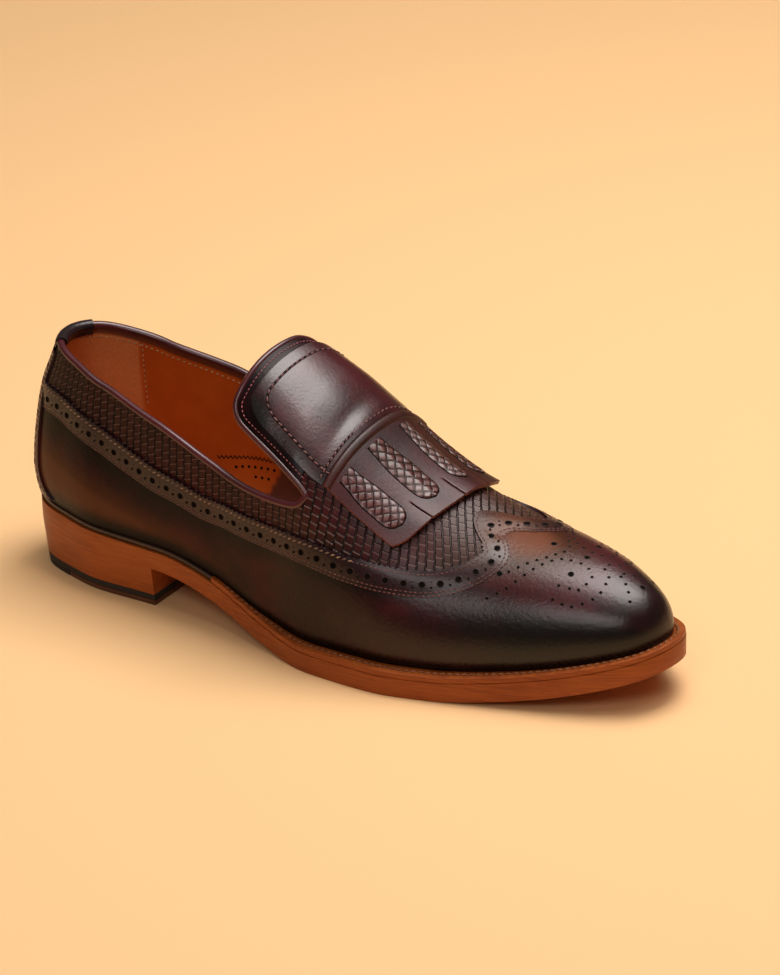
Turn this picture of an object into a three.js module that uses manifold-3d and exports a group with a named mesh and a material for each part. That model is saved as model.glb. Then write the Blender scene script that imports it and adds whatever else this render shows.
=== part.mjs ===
// Kiltie wingtip loafer for the right foot, standing empty on its sole.
// Millimetres. +X runs from heel to toe, +Y to the inner side of the foot, +Z up.
// It is laid out from the back of the heel; the last lines centre it on its box.
import * as THREE from 'three';
import { mergeVertices } from 'three/addons/utils/BufferGeometryUtils.js';
import Module from 'manifold-3d';

// Driving dimensions of the bottom
const SOLE_LENGTH = 302;
const HEEL_WIDTH = 67;
const WAIST_WIDTH = 68;
const BALL_WIDTH = 108;
const OUTSOLE_THICKNESS = 8;
const WELT_THICKNESS = 2.2;
const HEEL_SEAT_HEIGHT = 17.8;
const HEEL_PITCH = 0.05;
const HEEL_LENGTH = 72.5;
const HEEL_TAPER = 2;
const TREAD_BACK = 156;
const TREAD_FRONT = 208;
const TOE_SPRING = 17;
const SPRING_POWER = 1.8;
const TOP_PIECE_THICKNESS = 5.2;
const INSERT_THICKNESS = 2.3;
const INSERT_START = 24;
const WELT_START = 104;
const WELT_GRIP = 3;
const WELT_SETBACK = 0.3;
const RAND_SETBACK = 0.9;

// Driving dimensions of the upper
const WALL = 2.2;
const WELT_LEDGE = 6.5;
const INSTEP_HEIGHT = 93;
const TOE_HEIGHT = 45;
const COLLAR_HEIGHT = 70;
const BACK_LEAN = 11.3;
const BACK_ROUND = 45;
const SWELL = 8;
const RIDGE_OFFSET = 8;
const THIN_TOE = 20;
const NOTCH_PLACE = 155.5;
const NOTCH_RADIUS = 5;
const TONGUE_TOP = 122;
const TONGUE_TURN = 15;
const TONGUE_CORNER = 7;
const INSOLE_THICKNESS = 2.8;
const INSOLE_MARGIN = 1;

// Driving dimensions of the overlays
const PIPING_WIDTH = 3.2;
const PIPING_HEIGHT = 2.4;
const PIPING_GAP = 0.5;
const BAND_WIDTH = 10;
const BAND_THICKNESS = 1.1;
const PEAK_REACH = 8;
const PEAK_CROTCH = 11;
const PEAK_TURN = 0.035;
const PANEL_THICKNESS = 1.1;
const PANEL_BASE_WIDTH = 50;
const PANEL_TOP_WIDTH = 27;
const PANEL_START = 1.5;
const PANEL_TOP_MARGIN = 8.5;
const PANEL_SPACE = 1;
const SADDLE_THICKNESS = 1.4;
const SADDLE_MARGIN = 0.05;
const SADDLE_END = 160;
const SADDLE_BACK = 5;
const KILTIE_FOLD = 165;
const KILTIE_LENGTH = 38;
const KILTIE_THICKNESS = 1.8;
const KILTIE_LIFT = 2;
const KILTIE_AXIS = -0.06;
const KILTIE_ROOT_SPREAD = 0.35;
const KILTIE_END_SPREAD = 0.4;
const KILTIE_TURN = 8;
const KILTIE_CURVE = 30;
const FOLD_WIDTH = 5;
const FOLD_THICKNESS = 3;
const SLIT_WIDTH = 0.9;
const SLIT_ROOT = 5;
const TAB_COUNT = 4;

// Gaps between pieces: flat seats, and curved faces that lie on each other
const SEAT_GAP = 0.3;
const LAY_GAP = 0.4;

// Rows of numbers as objects with named columns
function table(names, rows) {
  const columns = names.split(' ');
  return rows.map((row) => Object.fromEntries(columns.map((name, i) => [name, row[i]])));
}

// Outline of the sole: half widths to the outer and the inner side
const OUTLINE = [
  { at: 0, of: HEEL_WIDTH, outer: 0, inner: 0 },
  { at: 0.03, of: HEEL_WIDTH, outer: 0.313, inner: 0.291 },
  { at: 0.08, of: HEEL_WIDTH, outer: 0.42, inner: 0.418 },
  { at: 0.15, of: HEEL_WIDTH, outer: 0.502, inner: 0.493 },
  { at: 0.24, of: HEEL_WIDTH, outer: 0.516, inner: 0.493 },
  { at: 0.34, of: WAIST_WIDTH, outer: 0.547, inner: 0.45 },
  { at: 0.44, of: WAIST_WIDTH, outer: 0.665, inner: 0.47 },
  { at: 0.54, of: BALL_WIDTH, outer: 0.5, inner: 0.38 },
  { at: 0.63, of: BALL_WIDTH, outer: 0.514, inner: 0.452 },
  { at: 0.71, of: BALL_WIDTH, outer: 0.475, inner: 0.475 },
  { at: 0.79, of: BALL_WIDTH, outer: 0.408, inner: 0.433 },
  { at: 0.87, of: BALL_WIDTH, outer: 0.334, inner: 0.35 },
  { at: 0.93, of: BALL_WIDTH, outer: 0.262, inner: 0.249 },
  { at: 0.975, of: BALL_WIDTH, outer: 0.178, inner: 0.145 },
  { at: 1, of: BALL_WIDTH, outer: 0, inner: 0 },
];

// Sections of the upper along the sole: the ledge of sole left outside it and the swell of
// its wall on each side, the height of the swell, how square the section is, and how far
// its top lies to the inner side
const SECTIONS = table('at outerLedge innerLedge outerSwell innerSwell rise square offset', [
  [0, 0.18, 0.18, 0.36, 0.36, 0.2, 1.75, 0],
  [0.15, 0.18, 0.18, 0.36, 0.36, 0.2, 1.75, 0],
  [0.3, 0.23, 0.23, 0.38, 0.56, 0.26, 4.5, 0.16],
  [0.4, 0.38, 0.31, 0.38, 0.94, 0.29, 5.4, 0.57],
  [0.48, 0.69, 0.38, 0.31, 1.06, 0.29, 5.1, 0.91],
  [0.54, 0.85, 0.54, 0.25, 0.78, 0.24, 4.1, 0.94],
  [0.6, 0.95, 0.85, 0.22, 0.44, 0.2, 3.2, 0.9],
  [0.66, 1, 0.95, 0.22, 0.29, 0.17, 2.7, 0.83],
  [0.74, 1, 1, 0.2, 0.2, 0.14, 2.5, 0.73],
  [0.82, 0.95, 0.95, 0.18, 0.19, 0.11, 2.5, 0.59],
  [0.9, 0.89, 0.89, 0.12, 0.12, 0.1, 2.5, 0.43],
  [0.96, 0.8, 0.8, 0.08, 0.08, 0.09, 2.5, 0],
  [1, 0.74, 0.74, 0.04, 0.04, 0.07, 2.6, 0],
]);

// Height of the sections over the feather line, along the upper
const RIDGE = [
  { at: 0, of: INSTEP_HEIGHT, rise: 1.2 },
  { at: 0.15, of: INSTEP_HEIGHT, rise: 1.16 },
  { at: 0.3, of: INSTEP_HEIGHT, rise: 1.09 },
  { at: 0.385, of: INSTEP_HEIGHT, rise: 1.075 },
  { at: 0.43, of: INSTEP_HEIGHT, rise: 1.054 },
  { at: 0.48, of: INSTEP_HEIGHT, rise: 1 },
  { at: 0.53, of: INSTEP_HEIGHT, rise: 0.898 },
  { at: 0.59, of: INSTEP_HEIGHT, rise: 0.743 },
  { at: 0.65, of: INSTEP_HEIGHT, rise: 0.616 },
  { at: 0.71, of: TOE_HEIGHT, rise: 1.107 },
  { at: 0.77, of: TOE_HEIGHT, rise: 1.008 },
  { at: 0.83, of: TOE_HEIGHT, rise: 0.904 },
  { at: 0.89, of: TOE_HEIGHT, rise: 0.755 },
  { at: 0.94, of: TOE_HEIGHT, rise: 0.58 },
  { at: 0.98, of: TOE_HEIGHT, rise: 0.373 },
  { at: 1, of: TOE_HEIGHT, rise: 0 },
];

// Back of the heel, read by height: it swells out over the seat, then leans in to the collar
const BACK = [
  { rise: 0, lean: 0 },
  { rise: 0.07, lean: -0.09 },
  { rise: 0.2, lean: -0.19 },
  { rise: 0.27, lean: -0.17 },
  { rise: 0.49, lean: -0.02 },
  { rise: 0.71, lean: 0.27 },
  { rise: 0.86, lean: 0.66 },
  { rise: 1, lean: 1 },
  { rise: 1.6, lean: 2.3 },
];

// Edge of the collar over the feather line, up to the notch in front of the ankle
const COLLAR = [
  { at: 0, rise: 0.965 },
  { at: 0.03, rise: 0.953 },
  { at: 0.08, rise: 0.923 },
  { at: 0.155, rise: 0.866 },
  { at: 0.23, rise: 0.798 },
  { at: 0.3, rise: 0.737 },
  { at: 0.335, rise: 0.718 },
  { at: 0.37, rise: 0.714 },
  { at: 0.44, rise: 0.752 },
  { at: 0.515, rise: 0.815 },
];

// Half width of the tongue, as a share of the way from the feather line to the ridge
const TONGUE = [
  { at: 0.38, spread: 0.41 },
  { at: 0.42, spread: 0.44 },
  { at: 0.47, spread: 0.455 },
  { at: 0.515, spread: 0.465 },
];

// Tables and curves
const clamp = (value, low, high) => Math.min(high, Math.max(low, value));
const mix = (from, to, share) => from + (to - from) * share;
const footAngle = (share) => Math.acos(1 - 2 * clamp(share, 0, 1));
const footShare = (angle) => (1 - Math.cos(angle)) / 2;

function hermite(t, span, start, end, startSlope, endSlope) {
  const square = t * t;
  const cube = square * t;
  return (2 * cube - 3 * square + 1) * start + (cube - 2 * square + t) * span * startSlope
    + (3 * square - 2 * cube) * end + (cube - square) * span * endSlope;
}

// Smooth line through its knots that never overshoots them
function smoothLine(knots, values) {
  const spans = knots.slice(1).map((knot, i) => knot - knots[i]);
  const rises = spans.map((span, i) => (values[i + 1] - values[i]) / span);
  const slopes = knots.map((_, i) => {
    if (i === 0) return rises[0];
    if (i === rises.length) return rises[i - 1];
    if (rises[i - 1] * rises[i] <= 0) return 0;
    const before = 2 * spans[i] + spans[i - 1];
    const after = spans[i] + 2 * spans[i - 1];
    return (before + after) / (before / rises[i - 1] + after / rises[i]);
  });
  return (at) => {
    const x = clamp(at, knots[0], knots[knots.length - 1]);
    let i = 0;
    while (i < spans.length - 1 && x > knots[i + 1]) i += 1;
    const t = (x - knots[i]) / spans[i];
    return hermite(t, spans[i], values[i], values[i + 1], slopes[i], slopes[i + 1]);
  };
}

// A table read along the foot is round at the heel and at the toe
function alongFoot(rows, value) {
  const line = smoothLine(rows.map((row) => footAngle(row.at)), rows.map(value));
  return (share) => line(footAngle(share));
}

const soleWidth = {
  outer: alongFoot(OUTLINE, (row) => row.of * row.outer),
  inner: alongFoot(OUTLINE, (row) => row.of * row.inner),
};
const ledge = {
  outer: alongFoot(SECTIONS, (row) => row.outerLedge * WELT_LEDGE),
  inner: alongFoot(SECTIONS, (row) => row.innerLedge * WELT_LEDGE),
};
const swell = {
  outer: alongFoot(SECTIONS, (row) => row.outerSwell * SWELL),
  inner: alongFoot(SECTIONS, (row) => row.innerSwell * SWELL),
};
const swellRise = alongFoot(SECTIONS, (row) => row.rise * COLLAR_HEIGHT);
const squareness = alongFoot(SECTIONS, (row) => row.square);
const ridgeOffset = alongFoot(SECTIONS, (row) => row.offset * RIDGE_OFFSET);
const ridgeRise = alongFoot(RIDGE, (row) => row.rise * row.of);
const collarRise = alongFoot(COLLAR, (row) => row.rise * COLLAR_HEIGHT);
const tongueSpread = alongFoot(TONGUE, (row) => row.spread);
const backLean = smoothLine(
  BACK.map((row) => row.rise * COLLAR_HEIGHT),
  BACK.map((row) => row.lean * BACK_LEAN),
);

// Underside of the outsole: heel seat, waist, flat tread and toe spring
function underside(x) {
  const waist = clamp((x - HEEL_LENGTH) / (TREAD_BACK - HEEL_LENGTH), 0, 1);
  const seat = HEEL_SEAT_HEIGHT * (1 - waist * waist * (3 - 2 * waist));
  const pitch = Math.max(HEEL_LENGTH - x, 0) * HEEL_PITCH;
  const toe = clamp((x - TREAD_FRONT) / (SOLE_LENGTH - TREAD_FRONT), 0, 1);
  return seat + pitch + TOE_SPRING * toe ** SPRING_POWER;
}
const weltBottom = (x) => underside(x) + OUTSOLE_THICKNESS + SEAT_GAP;
const weltTop = (x) => weltBottom(x) + WELT_THICKNESS;
const featherLine = (x) => weltTop(x) + SEAT_GAP;

// Line parallel to the edge of the sole, from heel to toe on one side
const OUTLINE_STEPS = 240;
const SMALL_ANGLE = 1e-3;
function soleEdge(side, angle, inset) {
  const share = footShare(angle);
  const before = clamp(angle - SMALL_ANGLE, 0, Math.PI);
  const after = clamp(angle + SMALL_ANGLE, 0, Math.PI);
  const slope = (soleWidth[side](footShare(after)) - soleWidth[side](footShare(before))) / (after - before);
  const outward = new THREE.Vector2(-slope, SOLE_LENGTH * Math.sin(angle) / 2).normalize();
  return new THREE.Vector2(SOLE_LENGTH * share, soleWidth[side](share)).addScaledVector(outward, -inset);
}

const featherLines = new Map();
function featherEdge(side, grow) {
  const key = side + grow.toFixed(3);
  if (!featherLines.has(key)) {
    const points = [];
    for (let i = 0; i <= OUTLINE_STEPS; i += 1) {
      const angle = Math.PI * i / OUTLINE_STEPS;
      points.push(soleEdge(side, angle, ledge[side](footShare(angle)) - grow));
    }
    featherLines.set(key, points);
  }
  return featherLines.get(key);
}

function featherWidth(side, grow, x) {
  const points = featherEdge(side, grow);
  let i = 0;
  while (i < points.length - 2 && x > points[i + 1].x) i += 1;
  const share = (x - points[i].x) / (points[i + 1].x - points[i].x);
  return mix(points[i].y, points[i + 1].y, clamp(share, 0, 1));
}

// The form of the last. angle goes from the heel (0) to the toe (PI), across from the outer
// feather line (-1) over the ridge (0) to the inner feather line (1). grow moves it outward.
function lastPoint(angle, across, grow = 0) {
  const side = across < 0 ? 'outer' : 'inner';
  const sign = across < 0 ? -1 : 1;
  const heel = featherEdge(side, grow)[0].x;
  const toe = featherEdge(side, grow)[OUTLINE_STEPS].x;
  const foot = mix(heel, toe, footShare(angle));
  const stem = Math.max(foot, BACK_ROUND);
  const share = stem / SOLE_LENGTH;
  const ridge = ridgeRise(stem / toe);
  const height = ridge + grow * Math.min(ridge / THIN_TOE, 1);
  const climb = Math.sin((1 - Math.abs(across)) * Math.PI / 2);
  const rise = height * climb;
  const reach = Math.sqrt(Math.max(1 - climb ** squareness(share), 0));
  const swollen = rise / swellRise(share);
  const width = featherWidth(side, grow, stem) + swell[side](share) * swollen * Math.exp(1 - swollen);
  const y = sign * width * reach + ridgeOffset(share) * (1 - reach);
  const z = featherLine(foot) + rise;
  if (foot >= BACK_ROUND) return new THREE.Vector3(foot, y, z);
  const rounding = featherWidth(side, grow, foot) / featherWidth(side, grow, BACK_ROUND);
  const backward = (BACK_ROUND - foot) / (BACK_ROUND - heel);
  const x = BACK_ROUND - backward * (BACK_ROUND - heel - backLean(rise));
  return new THREE.Vector3(x, y * rounding, z);
}

const HEEL_END = featherEdge('outer', 0)[0].x;
const TOE_END = featherEdge('outer', 0)[OUTLINE_STEPS].x;
const angleAt = (x) => footAngle((x - HEEL_END) / (TOE_END - HEEL_END));
const placeOf = (angle) => mix(HEEL_END, TOE_END, footShare(angle));
// Share of the way up from the feather line at which a section reaches a height
function acrossAt(x, rise) {
  const stem = Math.max(x, BACK_ROUND);
  return 1 - Math.asin(clamp(rise / ridgeRise(stem / TOE_END), 0, 1)) * 2 / Math.PI;
}

// Rim of the collar: it runs into a round notch, where the tongue begins
const NOTCH_RIBS = 5;
const NOTCH_START = NOTCH_PLACE - NOTCH_RADIUS;
const NOTCH_ACROSS = acrossAt(NOTCH_PLACE, collarRise(NOTCH_PLACE / SOLE_LENGTH) + NOTCH_RADIUS);
const steps = (count, from = 0, to = 1) => (
  Array.from({ length: count + 1 }, (_, i) => mix(from, to, i / count))
);
const quarterTurn = (count) => steps(count, 0, Math.PI / 2);
const collarAcross = (x) => acrossAt(x, collarRise(x / SOLE_LENGTH));
const notch = quarterTurn(NOTCH_RIBS).map((turn) => {
  const x = NOTCH_START + NOTCH_RADIUS * Math.sin(turn);
  const bend = 1 - Math.cos(turn);
  return {
    x,
    collar: mix(collarAcross(x), NOTCH_ACROSS, bend),
    tongue: mix(tongueSpread(x / SOLE_LENGTH), NOTCH_ACROSS, bend),
  };
});

// Shells: a sheet of places, each with a point on the outer and on the inner face, closed
// along its borders. Grids that share places are joined there.
const SAME_PLACE = 0.001;
function shell(grids) {
  const outer = [];
  const inner = [];
  const found = new Map();
  const faces = [];
  const indexOf = ([top, bottom]) => {
    const key = top.toArray().map((value) => Math.round(value / SAME_PLACE) + 0).join();
    if (!found.has(key)) {
      found.set(key, outer.length);
      outer.push(top);
      inner.push(bottom);
    }
    return found.get(key);
  };
  const addFace = (a, b, c) => {
    if (a !== b && b !== c && c !== a) faces.push([a, b, c]);
  };
  for (const grid of grids) {
    const rows = grid.map((row) => row.map(indexOf));
    for (let i = 0; i < rows.length - 1; i += 1) {
      for (let j = 0; j < rows[i].length - 1; j += 1) {
        addFace(rows[i][j], rows[i + 1][j], rows[i + 1][j + 1]);
        addFace(rows[i][j], rows[i + 1][j + 1], rows[i][j + 1]);
      }
    }
  }
  return closeShell(outer, inner, faces);
}

function closeShell(outer, inner, faces) {
  const count = outer.length;
  const edges = new Set();
  const sides = (face) => face.map((from, i) => [from, face[(i + 1) % 3]]);
  faces.forEach((face) => sides(face).forEach((edge) => edges.add(edge.join())));
  const index = [];
  faces.forEach((face) => {
    index.push(...face);
    index.push(face[2] + count, face[1] + count, face[0] + count);
    sides(face).forEach(([from, to]) => {
      if (edges.has([to, from].join())) return;
      index.push(to, from, from + count, to, from + count, to + count);
    });
  });
  return solid([...outer, ...inner], index);
}

// A closed solid with its faces pointing out
function solid(points, index) {
  const geometry = new THREE.BufferGeometry().setFromPoints(points);
  let volume = 0;
  for (let i = 0; i < index.length; i += 3) {
    const [a, b, c] = [points[index[i]], points[index[i + 1]], points[index[i + 2]]];
    volume += a.dot(b.clone().cross(c));
  }
  geometry.setIndex(volume < 0 ? index.slice().reverse() : index);
  geometry.computeVertexNormals();
  return geometry;
}

// A place of the upper's own form, between two amounts of growth
const layer = (angle, across, low, high) => [lastPoint(angle, across, high), lastPoint(angle, across, low)];

// Upper: two side walls, the vamp ahead of the notch, and the tongue behind it
const WALL_RIBS = 22;
const WALL_COLUMNS = 8;
const VAMP_RIBS = 20;
const VAMP_COLUMNS = 10;
const TONGUE_RIBS = 4;
const CORNER_RIBS = 5;
const wallRibs = [
  ...steps(WALL_RIBS, 0, angleAt(NOTCH_START)).slice(0, -1).map((angle) => (
    { angle, rim: collarAcross(placeOf(angle)) }
  )),
  ...notch.map((row) => ({ angle: angleAt(row.x), rim: row.collar })),
];

function wallGrid(sign) {
  return wallRibs.map(({ angle, rim }) => {
    const row = steps(WALL_COLUMNS, 1, rim).map((across) => layer(angle, sign * across, -WALL, 0));
    return sign < 0 ? row : row.reverse();
  });
}

function vampGrid() {
  const columns = [
    ...steps(WALL_COLUMNS, -1, -NOTCH_ACROSS).slice(0, -1),
    ...steps(VAMP_COLUMNS, -NOTCH_ACROSS, NOTCH_ACROSS).slice(0, -1),
    ...steps(WALL_COLUMNS, NOTCH_ACROSS, 1),
  ];
  const ribs = steps(VAMP_RIBS, angleAt(NOTCH_PLACE), Math.PI);
  return ribs.map((angle) => columns.map((across) => layer(angle, across, -WALL, 0)));
}

// Rows of the tongue from its top edge to the notch, as places {x, across}
const tongueTop = (across) => TONGUE_TOP + TONGUE_TURN * across;
function tonguePlaces() {
  const cornerPlace = TONGUE_TOP + TONGUE_CORNER;
  const topAngle = angleAt(TONGUE_TOP);
  const topSpread = tongueSpread(cornerPlace / SOLE_LENGTH);
  const smallStep = 0.01;
  const spreadLength = lastPoint(topAngle, topSpread - smallStep)
    .distanceTo(lastPoint(topAngle, topSpread)) / smallStep;
  const corner = quarterTurn(CORNER_RIBS).slice(1).reverse().map((turn) => ({
    spread: topSpread - TONGUE_CORNER * (1 - Math.cos(turn)) / spreadLength,
    place: (across) => tongueTop(across) + TONGUE_CORNER * (1 - Math.sin(turn)),
  }));
  const body = steps(TONGUE_RIBS).map((share) => ({
    spread: tongueSpread(mix(cornerPlace, NOTCH_START, share) / SOLE_LENGTH),
    place: (across) => mix(tongueTop(across) + TONGUE_CORNER, NOTCH_START, share),
  }));
  const end = notch.slice(1).map((row) => ({ spread: row.tongue, place: () => row.x }));
  return [...corner, ...body, ...end].map(({ spread, place }) => (
    steps(VAMP_COLUMNS, -spread, spread).map((across) => ({ x: place(across), across }))
  ));
}
const tongueRows = tonguePlaces();
const tongueGrid = () => tongueRows.map((row) => (
  row.map(({ x, across }) => layer(angleAt(x), across, -WALL, 0))
));

// Piping along the rim: round the collar, into the notch, up the tongue and across its top
const PIPING_SIDES = 8;
function rimPlaces() {
  const collar = (sign) => wallRibs.map(({ angle, rim }) => [angle, sign * rim]);
  const tongueSide = (column) => tongueRows.map((row) => [angleAt(row[column].x), row[column].across]);
  const top = tongueRows[0].map(({ x, across }) => [angleAt(x), across]);
  return [
    ...collar(-1),
    ...tongueSide(0).reverse().slice(1),
    ...top.slice(1),
    ...tongueSide(VAMP_COLUMNS).slice(1),
    ...collar(1).reverse().slice(1, -1),
  ];
}

function pipingTube() {
  const rim = rimPlaces().map(([angle, across]) => layer(angle, across, -WALL, 0));
  const centres = rim.map(([outside, inside]) => outside.clone().add(inside).multiplyScalar(0.5));
  const points = [];
  const index = [];
  rim.forEach(([outside, inside], i) => {
    const before = centres[(i + rim.length - 1) % rim.length];
    const after = centres[(i + 1) % rim.length];
    const along = after.clone().sub(before).normalize();
    const wallward = outside.clone().sub(inside);
    wallward.addScaledVector(along, -wallward.dot(along)).normalize();
    const outward = wallward.clone().cross(along);
    const centre = centres[i].clone().addScaledVector(outward, PIPING_GAP + PIPING_HEIGHT / 2);
    for (let k = 0; k < PIPING_SIDES; k += 1) {
      const turn = 2 * Math.PI * k / PIPING_SIDES;
      points.push(centre.clone()
        .addScaledVector(wallward, Math.cos(turn) * PIPING_WIDTH / 2)
        .addScaledVector(outward, Math.sin(turn) * PIPING_HEIGHT / 2));
      const nextRing = ((i + 1) % rim.length) * PIPING_SIDES;
      const nextSide = (k + 1) % PIPING_SIDES;
      const here = i * PIPING_SIDES;
      index.push(here + k, nextRing + k, nextRing + nextSide);
      index.push(here + k, nextRing + nextSide, here + nextSide);
    }
  });
  return solid(points, index);
}

// Wing band: its middle line runs forward on each side, round a lobe and back to the peak.
// Places are shares of the sole's length, and across from the ridge to the feather line.
const WING = {
  outer: [
    { at: 0.058, across: 0.724 },
    { at: 0.11, across: 0.742 },
    { at: 0.161, across: 0.763 },
    { at: 0.215, across: 0.785 },
    { at: 0.27, across: 0.806 },
    { at: 0.326, across: 0.807 },
    { at: 0.386, across: 0.778 },
    { at: 0.452, across: 0.736 },
    { at: 0.519, across: 0.684 },
    { at: 0.577, across: 0.65 },
    { at: 0.633, across: 0.606 },
    { at: 0.69, across: 0.551 },
    { at: 0.722, across: 0.49 },
    { at: 0.746, across: 0.4 },
    { at: 0.757, across: 0.305 },
    { at: 0.745, across: 0.22 },
    { at: 0.712, across: 0.12 },
  ],
  inner: [
    { at: 0.058, across: 0.724 },
    { at: 0.11, across: 0.742 },
    { at: 0.161, across: 0.763 },
    { at: 0.215, across: 0.785 },
    { at: 0.27, across: 0.806 },
    { at: 0.326, across: 0.807 },
    { at: 0.386, across: 0.778 },
    { at: 0.452, across: 0.736 },
    { at: 0.519, across: 0.684 },
    { at: 0.577, across: 0.64 },
    { at: 0.633, across: 0.58 },
    { at: 0.68, across: 0.51 },
    { at: 0.722, across: 0.43 },
    { at: 0.758, across: 0.34 },
    { at: 0.782, across: 0.24 },
    { at: 0.788, across: 0.14 },
    { at: 0.77, across: 0.03 },
    { at: 0.712, across: -0.12 },
  ],
};
const BAND_STEP = 6;
const SPREAD_LENGTH = 80;
const SMALL_PLACE = 1e-4;

// Moves a place sideways over the form, to the left of its direction of travel
function sideways({ angle, across }, along, distance) {
  const here = lastPoint(angle, across);
  const byAngle = lastPoint(angle + SMALL_PLACE, across).sub(here).divideScalar(SMALL_PLACE);
  const byAcross = lastPoint(angle, across + SMALL_PLACE).sub(here).divideScalar(SMALL_PLACE);
  const normal = byAngle.clone().cross(byAcross).normalize();
  const left = normal.cross(along).normalize().multiplyScalar(distance);
  const [aa, ab, bb] = [byAngle.dot(byAngle), byAngle.dot(byAcross), byAcross.dot(byAcross)];
  const [a, b] = [left.dot(byAngle), left.dot(byAcross)];
  const scale = aa * bb - ab * ab;
  return { angle: angle + (a * bb - b * ab) / scale, across: across + (b * aa - a * ab) / scale };
}

function wingLine(rows, sign) {
  const start = { x: bandStart(rows[0].across), across: rows[0].across };
  const places = [start, ...rows.map((row) => ({ x: row.at * SOLE_LENGTH, across: row.across }))];
  const flat = new THREE.SplineCurve(
    places.map(({ x, across }) => new THREE.Vector2(x, sign * across * SPREAD_LENGTH)),
  );
  const count = Math.round(flat.getLength() / BAND_STEP);
  const line = flat.getSpacedPoints(count);
  return line.slice(0, -2).map((point) => ({ angle: angleAt(point.x), across: point.y / SPREAD_LENGTH }));
}

function bandRow(line, i, forward) {
  const point = ({ angle, across }) => lastPoint(angle, across);
  const before = point(line[Math.max(i - 1, 0)]);
  const after = point(line[Math.min(i + 1, line.length - 1)]);
  const along = after.sub(before).multiplyScalar(forward);
  return steps(2, -BAND_WIDTH / 2, BAND_WIDTH / 2).map((distance) => sideways(line[i], along, distance));
}

function wingBand() {
  const outer = wingLine(WING.outer, -1);
  const inner = wingLine(WING.inner, 1);
  const peakRow = WING.outer[WING.outer.length - 1];
  const peak = peakRow.at * SOLE_LENGTH;
  const peakPlace = (ahead) => ({
    angle: angleAt(peak + ahead),
    across: -peakRow.across - Math.sign(ahead) * PEAK_TURN,
  });
  const rows = [
    ...outer.map((_, i) => bandRow(outer, i, 1)),
    [peakPlace(PEAK_CROTCH), peakPlace(0), peakPlace(-PEAK_REACH)],
    ...inner.map((_, i) => bandRow(inner, i, -1)).reverse(),
  ];
  return shell([rows.map((row) => (
    row.map(({ angle, across }) => layer(angle, across, LAY_GAP, LAY_GAP + BAND_THICKNESS))
  ))]);
}

// Heel panel: a strap that narrows upward over the back seam
const PANEL_ROWS = 9;
const PANEL_COLUMNS = 10;
const HALVINGS = 40;
const panelHalf = (rise) => mix(PANEL_BASE_WIDTH, PANEL_TOP_WIDTH, rise / COLLAR_HEIGHT) / 2;
const riseAt = (across) => ridgeRise(BACK_ROUND / TOE_END) * Math.sin((1 - Math.abs(across)) * Math.PI / 2);

function angleAtWidth(across, width) {
  let low = 0;
  let high = angleAt(BACK_ROUND);
  for (let i = 0; i < HALVINGS; i += 1) {
    const middle = (low + high) / 2;
    if (Math.abs(lastPoint(middle, across).y) < width) low = middle;
    else high = middle;
  }
  return (low + high) / 2;
}

// The band starts beside the panel, where its lower edge is widest
function bandStart(across) {
  const rise = riseAt(across) - BAND_WIDTH / 2;
  return placeOf(angleAtWidth(across, panelHalf(rise) + PANEL_SPACE));
}

function heelPanel() {
  const rises = steps(PANEL_ROWS, PANEL_START, COLLAR_HEIGHT - PANEL_TOP_MARGIN);
  return shell([rises.map((rise) => (
    steps(PANEL_COLUMNS, -1, 1).map((share) => {
      const across = acrossAt(0, rise) * (share < 0 ? -1 : 1);
      const angle = Math.abs(share) * angleAtWidth(across, panelHalf(rise));
      return layer(angle, across, LAY_GAP, LAY_GAP + PANEL_THICKNESS);
    })
  ))]);
}

// Saddle on the tongue, and the fringe that hangs from its fold over the vamp
const SADDLE_ROWS = 8;
const SADDLE_COLUMNS = 14;
const TAB_COLUMNS = 4;
const TAB_ROWS = 5;
const foldPlace = (across) => KILTIE_FOLD + KILTIE_TURN * across;

function saddle() {
  const end = (across) => foldPlace(across) - FOLD_WIDTH / 2 - LAY_GAP;
  return shell([steps(SADDLE_ROWS).map((share) => {
    const spread = tongueSpread(mix(TONGUE_TOP, SADDLE_END, share) / SOLE_LENGTH) - SADDLE_MARGIN;
    return steps(SADDLE_COLUMNS, -spread, spread).map((across) => {
      const x = mix(tongueTop(across) + SADDLE_BACK, end(across), share);
      return layer(angleAt(x), across, LAY_GAP, LAY_GAP + SADDLE_THICKNESS);
    });
  })]);
}

// One row of the fringe: ahead is the distance from the fold, cuts lists places across it
function kiltieRow(ahead, cuts) {
  const hang = clamp(ahead / KILTIE_LENGTH, 0, 1);
  const half = mix(KILTIE_ROOT_SPREAD, KILTIE_END_SPREAD, hang);
  const fold = Math.max(1 - (2 * ahead / FOLD_WIDTH) ** 2, 0);
  const thickness = KILTIE_THICKNESS + (FOLD_THICKNESS - KILTIE_THICKNESS) * Math.sqrt(fold);
  const low = LAY_GAP + KILTIE_LIFT * hang;
  return cuts.map((cut) => {
    const across = KILTIE_AXIS + cut * half;
    const x = foldPlace(across) + ahead - KILTIE_CURVE * across * across * hang;
    return layer(angleAt(x), across, low, low + thickness);
  });
}

function kiltie() {
  const tab = 2 / TAB_COUNT;
  const slit = SLIT_WIDTH / (KILTIE_END_SPREAD * SPREAD_LENGTH) / 2;
  const tabCuts = steps(TAB_COUNT - 1, -1, 1 - tab).map((start, i) => steps(
    TAB_COLUMNS,
    start + (i === 0 ? 0 : slit),
    start + tab - (i === TAB_COUNT - 1 ? 0 : slit),
  ));
  const root = [...steps(TAB_COLUMNS, -FOLD_WIDTH / 2, FOLD_WIDTH / 2), SLIT_ROOT];
  const hanging = steps(TAB_ROWS, SLIT_ROOT, KILTIE_LENGTH);
  return shell([
    root.map((ahead) => kiltieRow(ahead, tabCuts.flat())),
    ...tabCuts.map((cuts) => hanging.map((ahead) => kiltieRow(ahead, cuts))),
  ]);
}

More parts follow.
